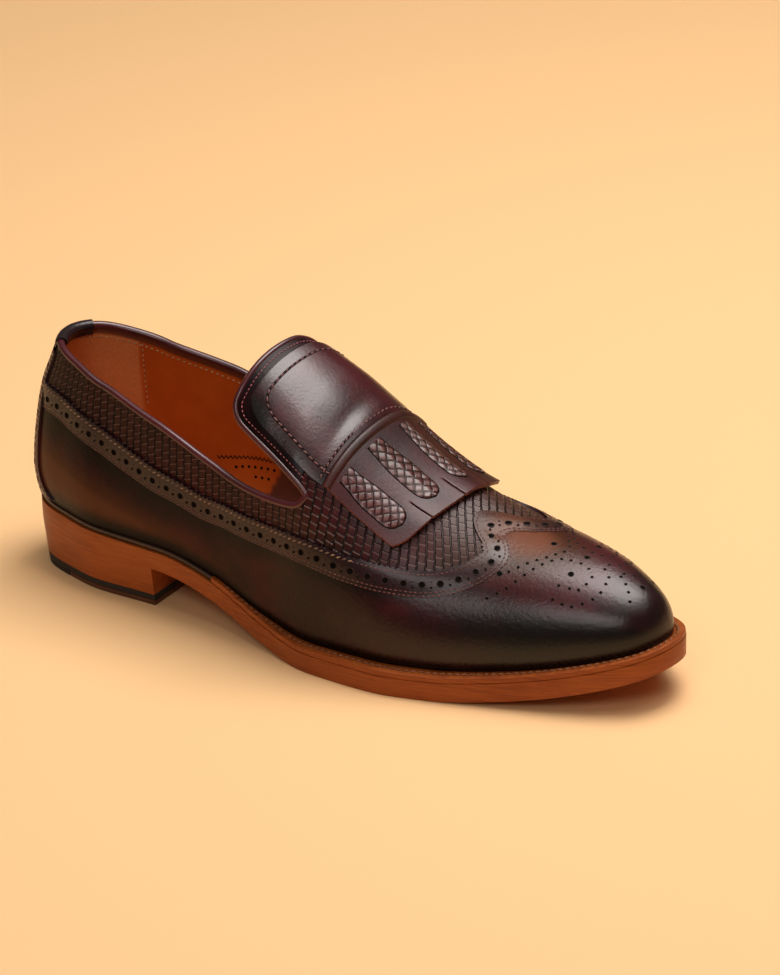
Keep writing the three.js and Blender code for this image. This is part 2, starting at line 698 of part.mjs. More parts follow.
// Bottom pieces: slabs and rings between stations along the edge of the sole
const STATIONS = 64;
const stationsBetween = (from, to) => (
  steps(Math.max(Math.round((to - from) / Math.PI * STATIONS), 2), from, to)
);
const raised = (point, sign, z) => new THREE.Vector3(point.x, sign * point.y, z);
const slabPoint = (side, angle, inset, height) => {
  const point = soleEdge(side, angle, inset);
  return raised(point, side === 'outer' ? -1 : 1, height(point.x));
};

// A plate over the whole outline, or over its stations between two angles
function plate(from, to, inset, low, high) {
  return shell([stationsBetween(from, to).map((angle) => ['outer', 'inner'].map((side) => (
    [slabPoint(side, angle, inset(side, angle), high), slabPoint(side, angle, inset(side, angle), low)]
  )))]);
}

const gripInset = (side, angle) => ledge[side](footShare(angle)) + WALL + WELT_GRIP;
function ringRow(side, angle, setback) {
  return [setback, gripInset(side, angle)].map((inset) => (
    [slabPoint(side, angle, inset, weltTop), slabPoint(side, angle, inset, weltBottom)]
  ));
}

function weltRing() {
  const start = footAngle(WELT_START / SOLE_LENGTH);
  const stations = stationsBetween(start, Math.PI);
  return shell([[
    ...stations.map((angle) => ringRow('outer', angle, WELT_SETBACK)),
    ...stations.slice(0, -1).reverse().map((angle) => ringRow('inner', angle, WELT_SETBACK)),
  ]]);
}

function heelRand() {
  const end = footAngle((WELT_START - 2 * SEAT_GAP) / SOLE_LENGTH);
  const stations = stationsBetween(0, end);
  return shell([[
    ...stations.slice(1).reverse().map((angle) => ringRow('outer', angle, RAND_SETBACK)),
    ...stations.map((angle) => ringRow('inner', angle, RAND_SETBACK)),
  ]]);
}

const outsole = () => plate(
  0,
  Math.PI,
  () => 0,
  underside,
  (x) => underside(x) + OUTSOLE_THICKNESS,
);

function insole() {
  const inset = (side, angle) => ledge[side](footShare(angle)) + WALL + INSOLE_MARGIN;
  return plate(0, Math.PI, inset, featherLine, (x) => featherLine(x) + INSOLE_THICKNESS);
}

// The heel narrows evenly from the sole to the floor; its breast is a flat upright face
function heelSlab(low, high) {
  const stations = stationsBetween(0, footAngle(HEEL_LENGTH / SOLE_LENGTH));
  const corner = (side, angle, height) => {
    const upright = height(SOLE_LENGTH * footShare(angle)) / HEEL_SEAT_HEIGHT;
    const point = soleEdge(side, angle, HEEL_TAPER * clamp(1 - upright, 0, 1));
    if (angle === stations[stations.length - 1]) point.x = HEEL_LENGTH;
    return raised(point, side === 'outer' ? -1 : 1, height(point.x));
  };
  return shell([stations.map((angle) => ['outer', 'inner'].map((side) => (
    [corner(side, angle, high), corner(side, angle, low)]
  )))]);
}
const heelStack = () => heelSlab(() => TOP_PIECE_THICKNESS + SEAT_GAP, (x) => underside(x) - SEAT_GAP);

// Joining and cutting
const wasm = await Module();
wasm.setup();
function manifoldOf(geometry) {
  return new wasm.Manifold(new wasm.Mesh({
    numProp: 3,
    vertProperties: new Float32Array(geometry.getAttribute('position').array),
    triVerts: new Uint32Array(geometry.getIndex().array),
  }));
}

function geometryOf(manifold) {
  const { vertProperties, triVerts, numProp } = manifold.getMesh();
  const geometry = new THREE.BufferGeometry();
  const positions = new Float32Array(vertProperties.length / numProp * 3);
  for (let i = 0; i < positions.length / 3; i += 1) {
    positions.set(vertProperties.slice(i * numProp, i * numProp + 3), i * 3);
  }
  geometry.setAttribute('position', new THREE.BufferAttribute(positions, 3));
  geometry.setIndex(Array.from(triVerts));
  geometry.computeVertexNormals();
  return geometry;
}

// Top piece: rubber with a leather insert let into its underside ahead of INSERT_START
const topPiece = manifoldOf(heelSlab(() => 0, () => TOP_PIECE_THICKNESS));
function insertBox(start, height) {
  const box = new THREE.BoxGeometry(HEEL_LENGTH, 2 * HEEL_WIDTH, 2 * height);
  box.deleteAttribute('normal');
  box.deleteAttribute('uv');
  box.translate(start + HEEL_LENGTH / 2, 0, 0);
  return manifoldOf(mergeVertices(box));
}
const topRubber = () => geometryOf(topPiece.subtract(insertBox(INSERT_START, INSERT_THICKNESS + SEAT_GAP)));
const topLeather = () => geometryOf(topPiece.intersect(insertBox(INSERT_START + SEAT_GAP, INSERT_THICKNESS)));

const upper = () => shell([wallGrid(-1), wallGrid(1), vampGrid(), tongueGrid()]);

// The shoe: each piece with its own colour and finish
const PIECES = [
  { name: 'outsole', geometry: outsole(), color: 0xa0622f, roughness: 0.42 },
  { name: 'welt', geometry: weltRing(), color: 0xb8692f, roughness: 0.45 },
  { name: 'heel_rand', geometry: heelRand(), color: 0x3a1f16, roughness: 0.5 },
  { name: 'heel_stack', geometry: heelStack(), color: 0x9a5c2c, roughness: 0.45 },
  { name: 'top_piece_rubber', geometry: topRubber(), color: 0x1b1817, roughness: 0.85 },
  { name: 'top_piece_leather', geometry: topLeather(), color: 0x8a4f28, roughness: 0.6 },
  { name: 'insole', geometry: insole(), color: 0xb98a5c, roughness: 0.6 },
  { name: 'upper', geometry: upper(), color: 0x5a2420, roughness: 0.35 },
  { name: 'collar_piping', geometry: pipingTube(), color: 0x6b1f22, roughness: 0.35 },
  { name: 'wing_band', geometry: wingBand(), color: 0x4a1a18, roughness: 0.32 },
  { name: 'heel_panel', geometry: heelPanel(), color: 0x50201c, roughness: 0.32 },
  { name: 'saddle', geometry: saddle(), color: 0x5e1f1f, roughness: 0.25 },
  { name: 'kiltie', geometry: kiltie(), color: 0x5b2521, roughness: 0.3 },
];

const shoe = new THREE.Group();
PIECES.forEach(({ name, geometry, color, roughness }) => {
  const material = new THREE.MeshStandardMaterial({ color, roughness, metalness: 0 });
  const mesh = new THREE.Mesh(geometry, material);
  mesh.name = name;
  shoe.add(mesh);
});

// Centre of the box in x and y at the origin, floor at zero
const box = new THREE.Box3().setFromObject(shoe);
const middle = box.getCenter(new THREE.Vector3());
shoe.children.forEach((mesh) => mesh.geometry.translate(-middle.x, -middle.y, -box.min.z));

export default shoe;
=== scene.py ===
"""Kiltie wingtip loafer, right foot: the looks, in metres, in the frame of the CAD."""
import math

import bpy
import numpy as np
from mathutils import Matrix, Vector


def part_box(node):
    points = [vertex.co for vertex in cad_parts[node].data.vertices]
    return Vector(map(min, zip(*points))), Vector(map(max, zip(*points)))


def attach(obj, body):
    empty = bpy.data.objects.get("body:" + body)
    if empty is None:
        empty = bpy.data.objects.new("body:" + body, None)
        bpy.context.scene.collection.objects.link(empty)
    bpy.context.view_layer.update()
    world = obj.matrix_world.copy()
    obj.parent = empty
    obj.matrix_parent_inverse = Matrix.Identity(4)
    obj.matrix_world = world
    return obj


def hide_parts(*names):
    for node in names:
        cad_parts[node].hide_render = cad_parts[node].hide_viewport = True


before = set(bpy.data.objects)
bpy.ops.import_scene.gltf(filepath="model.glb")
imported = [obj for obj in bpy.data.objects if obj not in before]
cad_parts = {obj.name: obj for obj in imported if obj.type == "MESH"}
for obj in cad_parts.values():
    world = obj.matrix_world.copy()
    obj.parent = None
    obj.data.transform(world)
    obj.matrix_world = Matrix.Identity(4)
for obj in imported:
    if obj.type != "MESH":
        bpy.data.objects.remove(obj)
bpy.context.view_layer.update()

# Sizes in millimetres, laid out from the back of the heel as in the source
SOLE_LENGTH = 302.0
HEEL_WIDTH = 67.0
WAIST_WIDTH = 68.0
BALL_WIDTH = 108.0
OUTSOLE_THICKNESS = 8.0
WELT_THICKNESS = 2.2
HEEL_SEAT_HEIGHT = 17.8
HEEL_PITCH = 0.05
HEEL_LENGTH = 72.5
HEEL_TAPER = 2.0
TREAD_BACK = 156.0
TREAD_FRONT = 208.0
TOE_SPRING = 17.0
SPRING_POWER = 1.8
TOP_PIECE = 5.2
INSERT_THICKNESS = 2.3
INSERT_START = 24.0
WELT_START = 104.0
WELT_GRIP = 3.0
WALL = 2.2
WELT_LEDGE = 6.5
INSTEP_HEIGHT = 93.0
TOE_HEIGHT = 45.0
COLLAR_HEIGHT = 70.0
BACK_LEAN = 11.3
BACK_ROUND = 45.0
SWELL = 8.0
RIDGE_OFFSET = 8.0
NOTCH_PLACE = 155.5
NOTCH_RADIUS = 5.0
TONGUE_TOP = 122.0
TONGUE_TURN = 15.0
TONGUE_CORNER = 7.0
BAND_WIDTH = 10.0
SEAT_GAP = 0.3

# Share of the length, size that the half widths are shares of, outer side, inner side
OUTLINE = (
    (0, HEEL_WIDTH, 0, 0), (0.03, HEEL_WIDTH, 0.313, 0.291), (0.08, HEEL_WIDTH, 0.42, 0.418),
    (0.15, HEEL_WIDTH, 0.502, 0.493), (0.24, HEEL_WIDTH, 0.516, 0.493),
    (0.34, WAIST_WIDTH, 0.547, 0.45), (0.44, WAIST_WIDTH, 0.665, 0.47),
    (0.54, BALL_WIDTH, 0.5, 0.38), (0.63, BALL_WIDTH, 0.514, 0.452),
    (0.71, BALL_WIDTH, 0.475, 0.475), (0.79, BALL_WIDTH, 0.408, 0.433),
    (0.87, BALL_WIDTH, 0.334, 0.35), (0.93, BALL_WIDTH, 0.262, 0.249),
    (0.975, BALL_WIDTH, 0.178, 0.145), (1, BALL_WIDTH, 0, 0),
)
# Share of the length, outer and inner ledge, outer and inner swell, its rise, squareness, offset
SECTIONS = (
    (0, 0.18, 0.18, 0.36, 0.36, 0.2, 1.75, 0), (0.15, 0.18, 0.18, 0.36, 0.36, 0.2, 1.75, 0),
    (0.3, 0.23, 0.23, 0.38, 0.56, 0.26, 4.5, 0.16), (0.4, 0.38, 0.31, 0.38, 0.94, 0.29, 5.4, 0.57),
    (0.48, 0.69, 0.38, 0.31, 1.06, 0.29, 5.1, 0.91), (0.54, 0.85, 0.54, 0.25, 0.78, 0.24, 4.1, 0.94),
    (0.6, 0.95, 0.85, 0.22, 0.44, 0.2, 3.2, 0.9), (0.66, 1, 0.95, 0.22, 0.29, 0.17, 2.7, 0.83),
    (0.74, 1, 1, 0.2, 0.2, 0.14, 2.5, 0.73), (0.82, 0.95, 0.95, 0.18, 0.19, 0.11, 2.5, 0.59),
    (0.9, 0.89, 0.89, 0.12, 0.12, 0.1, 2.5, 0.43), (0.96, 0.8, 0.8, 0.08, 0.08, 0.09, 2.5, 0),
    (1, 0.74, 0.74, 0.04, 0.04, 0.07, 2.6, 0),
)
# Share of the length, height of the section over the feather line
RIDGE = tuple((at, INSTEP_HEIGHT * rise) for at, rise in (
    (0, 1.2), (0.15, 1.16), (0.3, 1.09), (0.385, 1.075), (0.43, 1.054), (0.48, 1), (0.53, 0.898),
    (0.59, 0.743), (0.65, 0.616),
)) + tuple((at, TOE_HEIGHT * rise) for at, rise in (
    (0.71, 1.107), (0.77, 1.008), (0.83, 0.904), (0.89, 0.755), (0.94, 0.58), (0.98, 0.373), (1, 0),
))
BACK = (
    (0, 0), (0.07, -0.09), (0.2, -0.19), (0.27, -0.17), (0.49, -0.02), (0.71, 0.27), (0.86, 0.66),
    (1, 1), (1.6, 2.3),
)
COLLAR = (
    (0, 0.965), (0.03, 0.953), (0.08, 0.923), (0.155, 0.866), (0.23, 0.798), (0.3, 0.737), (0.335, 0.718),
    (0.37, 0.714), (0.44, 0.752), (0.515, 0.815),
)
TONGUE = ((0.38, 0.41), (0.42, 0.44), (0.47, 0.455), (0.515, 0.465))
# Middle line of the wing band: share of the length, place from the ridge to the feather line
BAND_START = 7.2
WING_BACK = (
    (0.058, 0.724), (0.11, 0.742), (0.161, 0.763), (0.215, 0.785), (0.27, 0.806), (0.326, 0.807),
    (0.386, 0.778), (0.452, 0.736), (0.519, 0.684),
)
WING = {
    "outer": WING_BACK + (
        (0.577, 0.65), (0.633, 0.606), (0.69, 0.551), (0.722, 0.49), (0.746, 0.4), (0.757, 0.305),
        (0.745, 0.22), (0.712, 0.12),
    ),
    "inner": WING_BACK + (
        (0.577, 0.64), (0.633, 0.58), (0.68, 0.51), (0.722, 0.43), (0.758, 0.34), (0.782, 0.24),
        (0.788, 0.14), (0.77, 0.03), (0.712, -0.12),
    ),
}


def mix(low, high, share):
    return low + (high - low) * share


def smooth_step(low, high, value):
    share = np.clip((value - low) / (high - low), 0, 1)
    return share * share * (3 - 2 * share)


def smooth_line(knots, values):
    """A smooth line through its knots that never overshoots them."""
    knots, values = np.array(knots, float), np.array(values, float)
    spans = np.diff(knots)
    rises = np.diff(values) / spans
    slopes = np.zeros(len(knots))
    slopes[0], slopes[-1] = rises[0], rises[-1]
    for i in range(1, len(spans)):
        if rises[i - 1] * rises[i] > 0:
            before, after = 2 * spans[i] + spans[i - 1], spans[i] + 2 * spans[i - 1]
            slopes[i] = (before + after) / (before / rises[i - 1] + after / rises[i])

    def line(at):
        x = np.clip(at, knots[0], knots[-1])
        i = np.clip(np.searchsorted(knots, x, side="right") - 1, 0, len(spans) - 1)
        t = (x - knots[i]) / spans[i]
        return (
            (2 * t**3 - 3 * t**2 + 1) * values[i] + (t**3 - 2 * t**2 + t) * spans[i] * slopes[i]
            + (3 * t**2 - 2 * t**3) * values[i + 1] + (t**3 - t**2) * spans[i] * slopes[i + 1]
        )
    return line


def foot_angle(share):
    return np.arccos(1 - 2 * np.clip(share, 0, 1))


def foot_share(angle):
    return (1 - np.cos(angle)) / 2


def along_foot(rows, value):
    line = smooth_line([foot_angle(row[0]) for row in rows], [value(row) for row in rows])
    return lambda share: line(foot_angle(share))


sole_width = {
    "outer": along_foot(OUTLINE, lambda row: row[1] * row[2]),
    "inner": along_foot(OUTLINE, lambda row: row[1] * row[3]),
}
ledge = {
    "outer": along_foot(SECTIONS, lambda row: row[1] * WELT_LEDGE),
    "inner": along_foot(SECTIONS, lambda row: row[2] * WELT_LEDGE),
}
swell = {
    "outer": along_foot(SECTIONS, lambda row: row[3] * SWELL),
    "inner": along_foot(SECTIONS, lambda row: row[4] * SWELL),
}
swell_rise = along_foot(SECTIONS, lambda row: row[5] * COLLAR_HEIGHT)
squareness = along_foot(SECTIONS, lambda row: row[6])
ridge_offset = along_foot(SECTIONS, lambda row: row[7] * RIDGE_OFFSET)
ridge_rise = along_foot(RIDGE, lambda row: row[1])
collar_rise = along_foot(COLLAR, lambda row: row[1] * COLLAR_HEIGHT)
tongue_spread = along_foot(TONGUE, lambda row: row[1])
back_lean = smooth_line([row[0] * COLLAR_HEIGHT for row in BACK], [row[1] * BACK_LEAN for row in BACK])


def underside(x):
    waist = np.clip((x - HEEL_LENGTH) / (TREAD_BACK - HEEL_LENGTH), 0, 1)
    seat = HEEL_SEAT_HEIGHT * (1 - waist * waist * (3 - 2 * waist))
    pitch = np.maximum(HEEL_LENGTH - x, 0) * HEEL_PITCH
    toe = np.clip((x - TREAD_FRONT) / (SOLE_LENGTH - TREAD_FRONT), 0, 1)
    return seat + pitch + TOE_SPRING * toe**SPRING_POWER


def sole_top(x):
    return underside(x) + OUTSOLE_THICKNESS


def welt_top(x):
    return sole_top(x) + SEAT_GAP + WELT_THICKNESS


def feather_line(x):
    return welt_top(x) + SEAT_GAP


def sole_edge(side, angle, inset):
    """Point of a line parallel to the edge of the sole: x and half width."""
    small = 1e-3
    before, after = np.clip(angle - small, 0, np.pi), np.clip(angle + small, 0, np.pi)
    width = sole_width[side]
    slope = (width(foot_share(after)) - width(foot_share(before))) / (after - before)
    run = SOLE_LENGTH * np.sin(angle) / 2
    length = np.hypot(slope, run)
    share = foot_share(angle)
    return SOLE_LENGTH * share + slope / length * inset, width(share) - run / length * inset


OUTLINE_ANGLES = np.linspace(0, np.pi, 481)
feather_lines = {}
for side_name in ("outer", "inner"):
    inset_line = ledge[side_name](foot_share(OUTLINE_ANGLES))
    feather_lines[side_name] = sole_edge(side_name, OUTLINE_ANGLES, inset_line)
HEEL_END = feather_lines["outer"][0][0]
TOE_END = feather_lines["outer"][0][-1]


def angle_at(x):
    return foot_angle((x - HEEL_END) / (TOE_END - HEEL_END))


def place_of(angle):
    return mix(HEEL_END, TOE_END, foot_share(angle))


def last_point(angle, across):
    """The form of the last: angle from heel to toe, across from the outer to the inner side."""
    angle, across = np.broadcast_arrays(np.asarray(angle, float), np.asarray(across, float))
    outer = across < 0
    foot = place_of(angle)
    stem = np.maximum(foot, BACK_ROUND)
    share = stem / SOLE_LENGTH
    climb = np.sin((1 - np.abs(across)) * np.pi / 2)
    rise = ridge_rise(stem / TOE_END) * climb
    reach = np.sqrt(np.clip(1 - np.clip(climb, 0, 1) ** squareness(share), 0, None))
    swollen = rise / swell_rise(share)

    def on_side(values):
        return np.where(outer, values["outer"], values["inner"])

    width = on_side({s: np.interp(stem, *feather_lines[s]) for s in feather_lines})
    width = width + on_side({s: swell[s](share) for s in swell}) * swollen * np.exp(1 - swollen)
    y = np.where(outer, -1, 1) * width * reach + ridge_offset(share) * (1 - reach)
    near = on_side({s: np.interp(foot, *feather_lines[s]) for s in feather_lines})
    full = on_side({s: np.interp(BACK_ROUND, *feather_lines[s]) for s in feather_lines})
    behind = foot < BACK_ROUND
    backward = (BACK_ROUND - foot) / (BACK_ROUND - HEEL_END)
    x = np.where(behind, BACK_ROUND - backward * (BACK_ROUND - HEEL_END - back_lean(rise)), foot)
    y = np.where(behind, y * near / full, y)
    return np.stack([x, y, feather_line(foot) + rise], axis=-1)


def slopes_at(angle, across):
    small = 1e-4
    by_angle = np.where(np.asarray(angle) < np.pi / 2, small, -small)
    by_across = np.where(np.asarray(across) < 0, small, -small)
    here = last_point(angle, across)
    return (
        here,
        (last_point(angle + by_angle, across) - here) / by_angle[..., None],
        (last_point(angle, across + by_across) - here) / by_across[..., None],
    )


def unit(vectors):
    return vectors / np.maximum(np.linalg.norm(vectors, axis=-1, keepdims=True), 1e-12)


def form_normal(angle, across):
    _, by_angle, by_across = slopes_at(angle, across)
    return unit(np.cross(by_angle, by_across))


def on_form(angle, across, lift=0.0):
    angle, across = np.broadcast_arrays(np.asarray(angle, float), np.asarray(across, float))
    lift = np.broadcast_to(np.asarray(lift, float), angle.shape)
    return last_point(angle, across) + form_normal(angle, across) * lift[..., None]


def across_at(x, rise):
    stem = np.maximum(x, BACK_ROUND)
    return 1 - np.arcsin(np.clip(rise / ridge_rise(stem / TOE_END), 0, 1)) * 2 / np.pi


def collar_across(x):
    return across_at(x, collar_rise(x / SOLE_LENGTH))


NOTCH_START = NOTCH_PLACE - NOTCH_RADIUS
NOTCH_ACROSS = across_at(NOTCH_PLACE, collar_rise(NOTCH_PLACE / SOLE_LENGTH) + NOTCH_RADIUS)

# From the layout to the frame of the row: the tip of the sole and the middle of its width
low_corner, high_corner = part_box("outsole")
widths = {s: sole_width[s](np.linspace(0, 1, 2001)).max() for s in sole_width}
SHIFT = np.array([high_corner[0] * 1000 - SOLE_LENGTH, (widths["outer"] - widths["inner"]) / 2, 0])


def in_row(points):
    return (np.asarray(points) + SHIFT) / 1000


# Modelling: grid primitives laid on the form, then finished with operators and modifiers
def only(piece):
    bpy.ops.object.select_all(action="DESELECT")
    piece.select_set(True)
    bpy.context.view_layer.objects.active = piece


def coordinates(mesh):
    flat = np.empty(len(mesh.vertices) * 3)
    mesh.vertices.foreach_get("co", flat)
    return flat.reshape(-1, 3)


def placed(name, data):
    """An object for a mesh, lamp or camera, in the scene."""
    body = bpy.data.objects.new(name, data)
    bpy.context.collection.objects.link(body)
    return body


def laid(name, points, pattern=None, **marks):
    """A grid primitive whose vertices are moved to rows of points in layout millimetres."""
    rows, columns = points.shape[:2]
    bpy.ops.object.select_all(action="DESELECT")
    bpy.ops.mesh.primitive_grid_add(x_subdivisions=columns - 1, y_subdivisions=rows - 1, size=1)
    piece = bpy.context.object
    piece.name = piece.data.name = name
    mesh = piece.data
    flat = coordinates(mesh)
    column = np.rint((flat[:, 0] + 0.5) * (columns - 1)).astype(int)
    row = np.rint((flat[:, 1] + 0.5) * (rows - 1)).astype(int)
    mesh.vertices.foreach_set("co", in_row(points[row, column]).ravel())
    if pattern is not None:
        corner = np.empty(len(mesh.loops), int)
        mesh.loops.foreach_get("vertex_index", corner)
        mesh.uv_layers.active.name = "pattern"
        mesh.uv_layers["pattern"].data.foreach_set("uv", pattern[row, column][corner].ravel())
    for mark, values in marks.items():
        values = np.broadcast_to(np.asarray(values, float), (rows, columns))
        layer = mesh.attributes.new(mark, "FLOAT", "POINT")
        layer.data.foreach_set("value", values[row, column].astype(np.float32))
    mesh.update()
    return piece


def join(name, pieces, weld=0.0):
    only(pieces[0])
    for piece in pieces[1:]:
        piece.select_set(True)
    if len(pieces) > 1:
        bpy.ops.object.join()
    piece = bpy.context.object
    piece.name = piece.data.name = name
    if weld:
        bpy.ops.object.mode_set(mode="EDIT")
        bpy.ops.mesh.select_all(action="SELECT")
        bpy.ops.mesh.remove_doubles(threshold=weld)
        bpy.ops.mesh.dissolve_degenerate(threshold=weld / 2)
        bpy.ops.mesh.normals_make_consistent(inside=False)
        bpy.ops.object.mode_set(mode="OBJECT")
    return piece


def finish_with(piece, kind, **settings):
    only(piece)
    modifier = piece.modifiers.new(kind.lower(), kind)
    for key, value in settings.items():
        setattr(modifier, key, value)
    bpy.ops.object.modifier_apply(modifier=modifier.name)
    return piece


def capped(piece, fill):
    """Closes the open ends of a piece with that operator and turns its faces outward."""
    only(piece)
    bpy.ops.object.mode_set(mode="EDIT")
    bpy.ops.mesh.select_all(action="DESELECT")
    bpy.ops.mesh.select_mode(type="EDGE")
    bpy.ops.mesh.select_non_manifold(extend=False)
    fill()
    bpy.ops.mesh.select_all(action="SELECT")
    bpy.ops.mesh.normals_make_consistent(inside=False)
    bpy.ops.object.mode_set(mode="OBJECT")


def smooth(piece, angle=35):
    only(piece)
    bpy.ops.object.shade_smooth_by_angle(angle=math.radians(angle), keep_sharp_edges=False)
    return piece


def bevelled(piece, width, corner):
    """Rounds the edges that turn by more than the corner, width in millimetres."""
    finish_with(piece, "BEVEL", width=width / 1000, segments=3, limit_method="ANGLE",
                angle_limit=math.radians(corner))
    return smooth(piece, 40)


def kept(piece, *nodes, slot, materials=()):
    """Every piece rides on the one body, takes its finish and stands for its CAD nodes."""
    for material in materials:
        piece.data.materials.append(material)
    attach(piece, "root")
    if nodes:
        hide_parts(*nodes)
    return piece


def overlay(name, angle, across, thickness, base=-0.15, pattern=None, weld=2e-5, **marks):
    """A closed piece of leather on the form, from its underside to its upper face."""
    pad = ((2, 2), (2, 2))
    lift = np.pad(np.broadcast_to(thickness, angle.shape).astype(float), pad, mode="edge")
    under_lift = np.pad(np.broadcast_to(base, angle.shape).astype(float), pad, mode="edge")
    for ring, share in ((0, 1.0), (1, 0.25)):
        edge = np.zeros(lift.shape, bool)
        edge[ring, ring:lift.shape[1] - ring] = edge[-1 - ring, ring:lift.shape[1] - ring] = True
        edge[ring:lift.shape[0] - ring, ring] = edge[ring:lift.shape[0] - ring, -1 - ring] = True
        lift = np.where(edge, mix(lift, under_lift, share), lift)
    wide = {
        key: np.pad(np.broadcast_to(value, angle.shape), pad, mode="edge")
        for key, value in marks.items()}
    rim = np.ones(lift.shape)
    rim[2:-2, 2:-2] = 0
    uv = None if pattern is None else np.pad(pattern, pad + ((0, 0),), mode="edge")
    top_points = on_form(np.pad(angle, pad, mode="edge"), np.pad(across, pad, mode="edge"), lift)
    top = laid(name, top_points, uv, rim=rim, **wide)
    under = laid(name + "_under", on_form(angle, across, base), pattern, rim=1.0, **marks)
    return smooth(join(name, [top, under], weld=weld), 50)


def path_length(points):
    steps = np.linalg.norm(np.diff(points, axis=0), axis=1)
    return np.concatenate([[0], np.cumsum(steps)])


def places_at(at, length, *lines):
    return tuple(np.interp(at, length, line) for line in lines)


def gathered(lines):
    """Several lines of places as one."""
    return tuple(np.concatenate([line[k] for line in lines]) for k in (0, 1))


def spaced(angle, across, step):
    """The same line on the form, with places an even number of millimetres apart."""
    length = path_length(last_point(angle, across))
    at = np.linspace(0, length[-1], max(int(round(length[-1] / step)), 1) + 1)
    return places_at(at, length, angle, across)


def sideways(angle, across, distance):
    """Moves the places of a line to the left of its direction of travel, over the form."""
    here, by_angle, by_across = slopes_at(angle, across)
    along = np.gradient(here, axis=0)
    left = unit(np.cross(np.cross(by_angle, by_across), along)) * np.asarray(distance)[..., None]
    aa, ab, bb = ((p * q).sum(-1) for p, q in (
        (by_angle, by_angle), (by_angle, by_across), (by_across, by_across)))
    a, b = (left * by_angle).sum(-1), (left * by_across).sum(-1)
    scale = np.maximum(aa * bb - ab * ab, 1e-9)
    return angle + (a * bb - b * ab) / scale, across + (b * aa - a * ab) / scale


def copies(name, shape, places, directions, normals):
    """Copies one small modelled shape (x along, y across, z out) to many places, as one mesh."""
    mesh = shape.data
    count = len(mesh.vertices)
    local = coordinates(mesh)
    normals = unit(normals)
    directions = unit(directions - normals * (directions * normals).sum(-1, keepdims=True))
    cross = np.cross(normals, directions)
    world = (
        places[:, None] + local[None, :, :1] * directions[:, None]
        + local[None, :, 1:2] * cross[:, None] + local[None, :, 2:] * normals[:, None]
    )
    faces = [list(polygon.vertices) for polygon in mesh.polygons]
    body = bpy.data.meshes.new(name)
    all_faces = [[v + i * count for v in face] for i in range(len(places)) for face in faces]
    body.from_pydata(in_row(world.reshape(-1, 3)).tolist(), [], all_faces)
    body.polygons.foreach_set("use_smooth", [True] * len(all_faces))
    finishes = [polygon.material_index for polygon in mesh.polygons] * len(places)
    body.polygons.foreach_set("material_index", finishes)
    piece = placed(name, body)
    bpy.data.objects.remove(shape, do_unlink=True)
    return piece


def stitch_shape(length, thick):
    """One stitch of thread, in millimetres: a rounded bar that dips at both ends."""
    bpy.ops.object.select_all(action="DESELECT")
    bpy.ops.mesh.primitive_uv_sphere_add(segments=6, ring_count=5, radius=0.5)
    shape = bpy.context.object
    bpy.ops.object.mode_set(mode="EDIT")
    bpy.ops.mesh.select_all(action="SELECT")
    bpy.ops.transform.resize(value=(thick, thick, length))
    bpy.ops.object.mode_set(mode="OBJECT")
    shape.data.vertices.foreach_set("co", coordinates(shape.data)[:, [2, 1, 0]].ravel())
    return shape


def leaning(along, normals, turn):
    """Directions turned on the surface by that angle."""
    return along * math.cos(turn) + np.cross(normals, along) * math.sin(turn)


def stitches(name, angle, across, length=2.0, gap=0.7, thick=0.65, lift=0.0, turn=0.0):
    """A row of stitches along a line on the form."""
    angle, across = spaced(angle, across, length + gap)
    points = on_form(angle, across, lift)
    normals = form_normal(angle, across)
    along = unit(np.gradient(points, axis=0))
    return copies(name, stitch_shape(length, thick), points, leaning(along, normals, turn), normals)


def hole_shape(radius, sides=14):
    """A punched hole in millimetres: a disc of painted shade inside a thin lip of leather."""
    bpy.ops.object.select_all(action="DESELECT")
    bpy.ops.mesh.primitive_circle_add(vertices=sides, radius=radius * 1.22, fill_type="NGON")
    shape = bpy.context.object
    bpy.ops.object.mode_set(mode="EDIT")
    bpy.ops.mesh.select_all(action="SELECT")
    bpy.ops.mesh.inset(thickness=radius * 0.14, depth=0.1)
    bpy.ops.mesh.inset(thickness=radius * 0.08, depth=-0.04)
    bpy.ops.object.mode_set(mode="OBJECT")
    shape.data.polygons[0].material_index = 1
    return shape


def holes(name, angle, across, radius, lift=0.0, inside=False):
    points = on_form(angle, across, lift)
    normals = form_normal(angle, across) * (-1 if inside else 1)
    along = np.tile([1.0, 0.0, 0.0], (len(points), 1))
    return copies(name, hole_shape(radius), points, along, normals)


# Shader maths as expressions
class Maths:
    """Wraps a socket, so that an expression on values adds its Math nodes."""

    def __init__(self, tree, socket):
        self.tree, self.socket = tree, socket

    def _with(self, operation, *others, flip=False):
        values = [self, *others][::-1] if flip else [self, *others]
        return self.tree.node("ShaderNodeMath", {"operation": operation}, values)

    def __add__(self, other):
        return self._with("ADD", other)

    def __sub__(self, other):
        return self._with("SUBTRACT", other)

    def __rsub__(self, other):
        return self._with("SUBTRACT", other, flip=True)

    def __mul__(self, other):
        return self._with("MULTIPLY", other)

    def __truediv__(self, other):
        return self._with("DIVIDE", other)

    __radd__ = __add__
    __rmul__ = __mul__

    def __pow__(self, other):
        return self._with("POWER", other)

    def __abs__(self):
        return self._with("ABSOLUTE")

    def fraction(self):
        return self._with("FRACT")

    def floor(self):
        return self._with("FLOOR")

    def low(self, other):
        return self._with("MINIMUM", other)

    def between(self, low, high):
        """0 below low, 1 above high, smooth between them."""
        return self.tree.node(
            "ShaderNodeMapRange", {"interpolation_type": "SMOOTHSTEP", "clamp": True},
            [self, low, high, 0.0, 1.0])


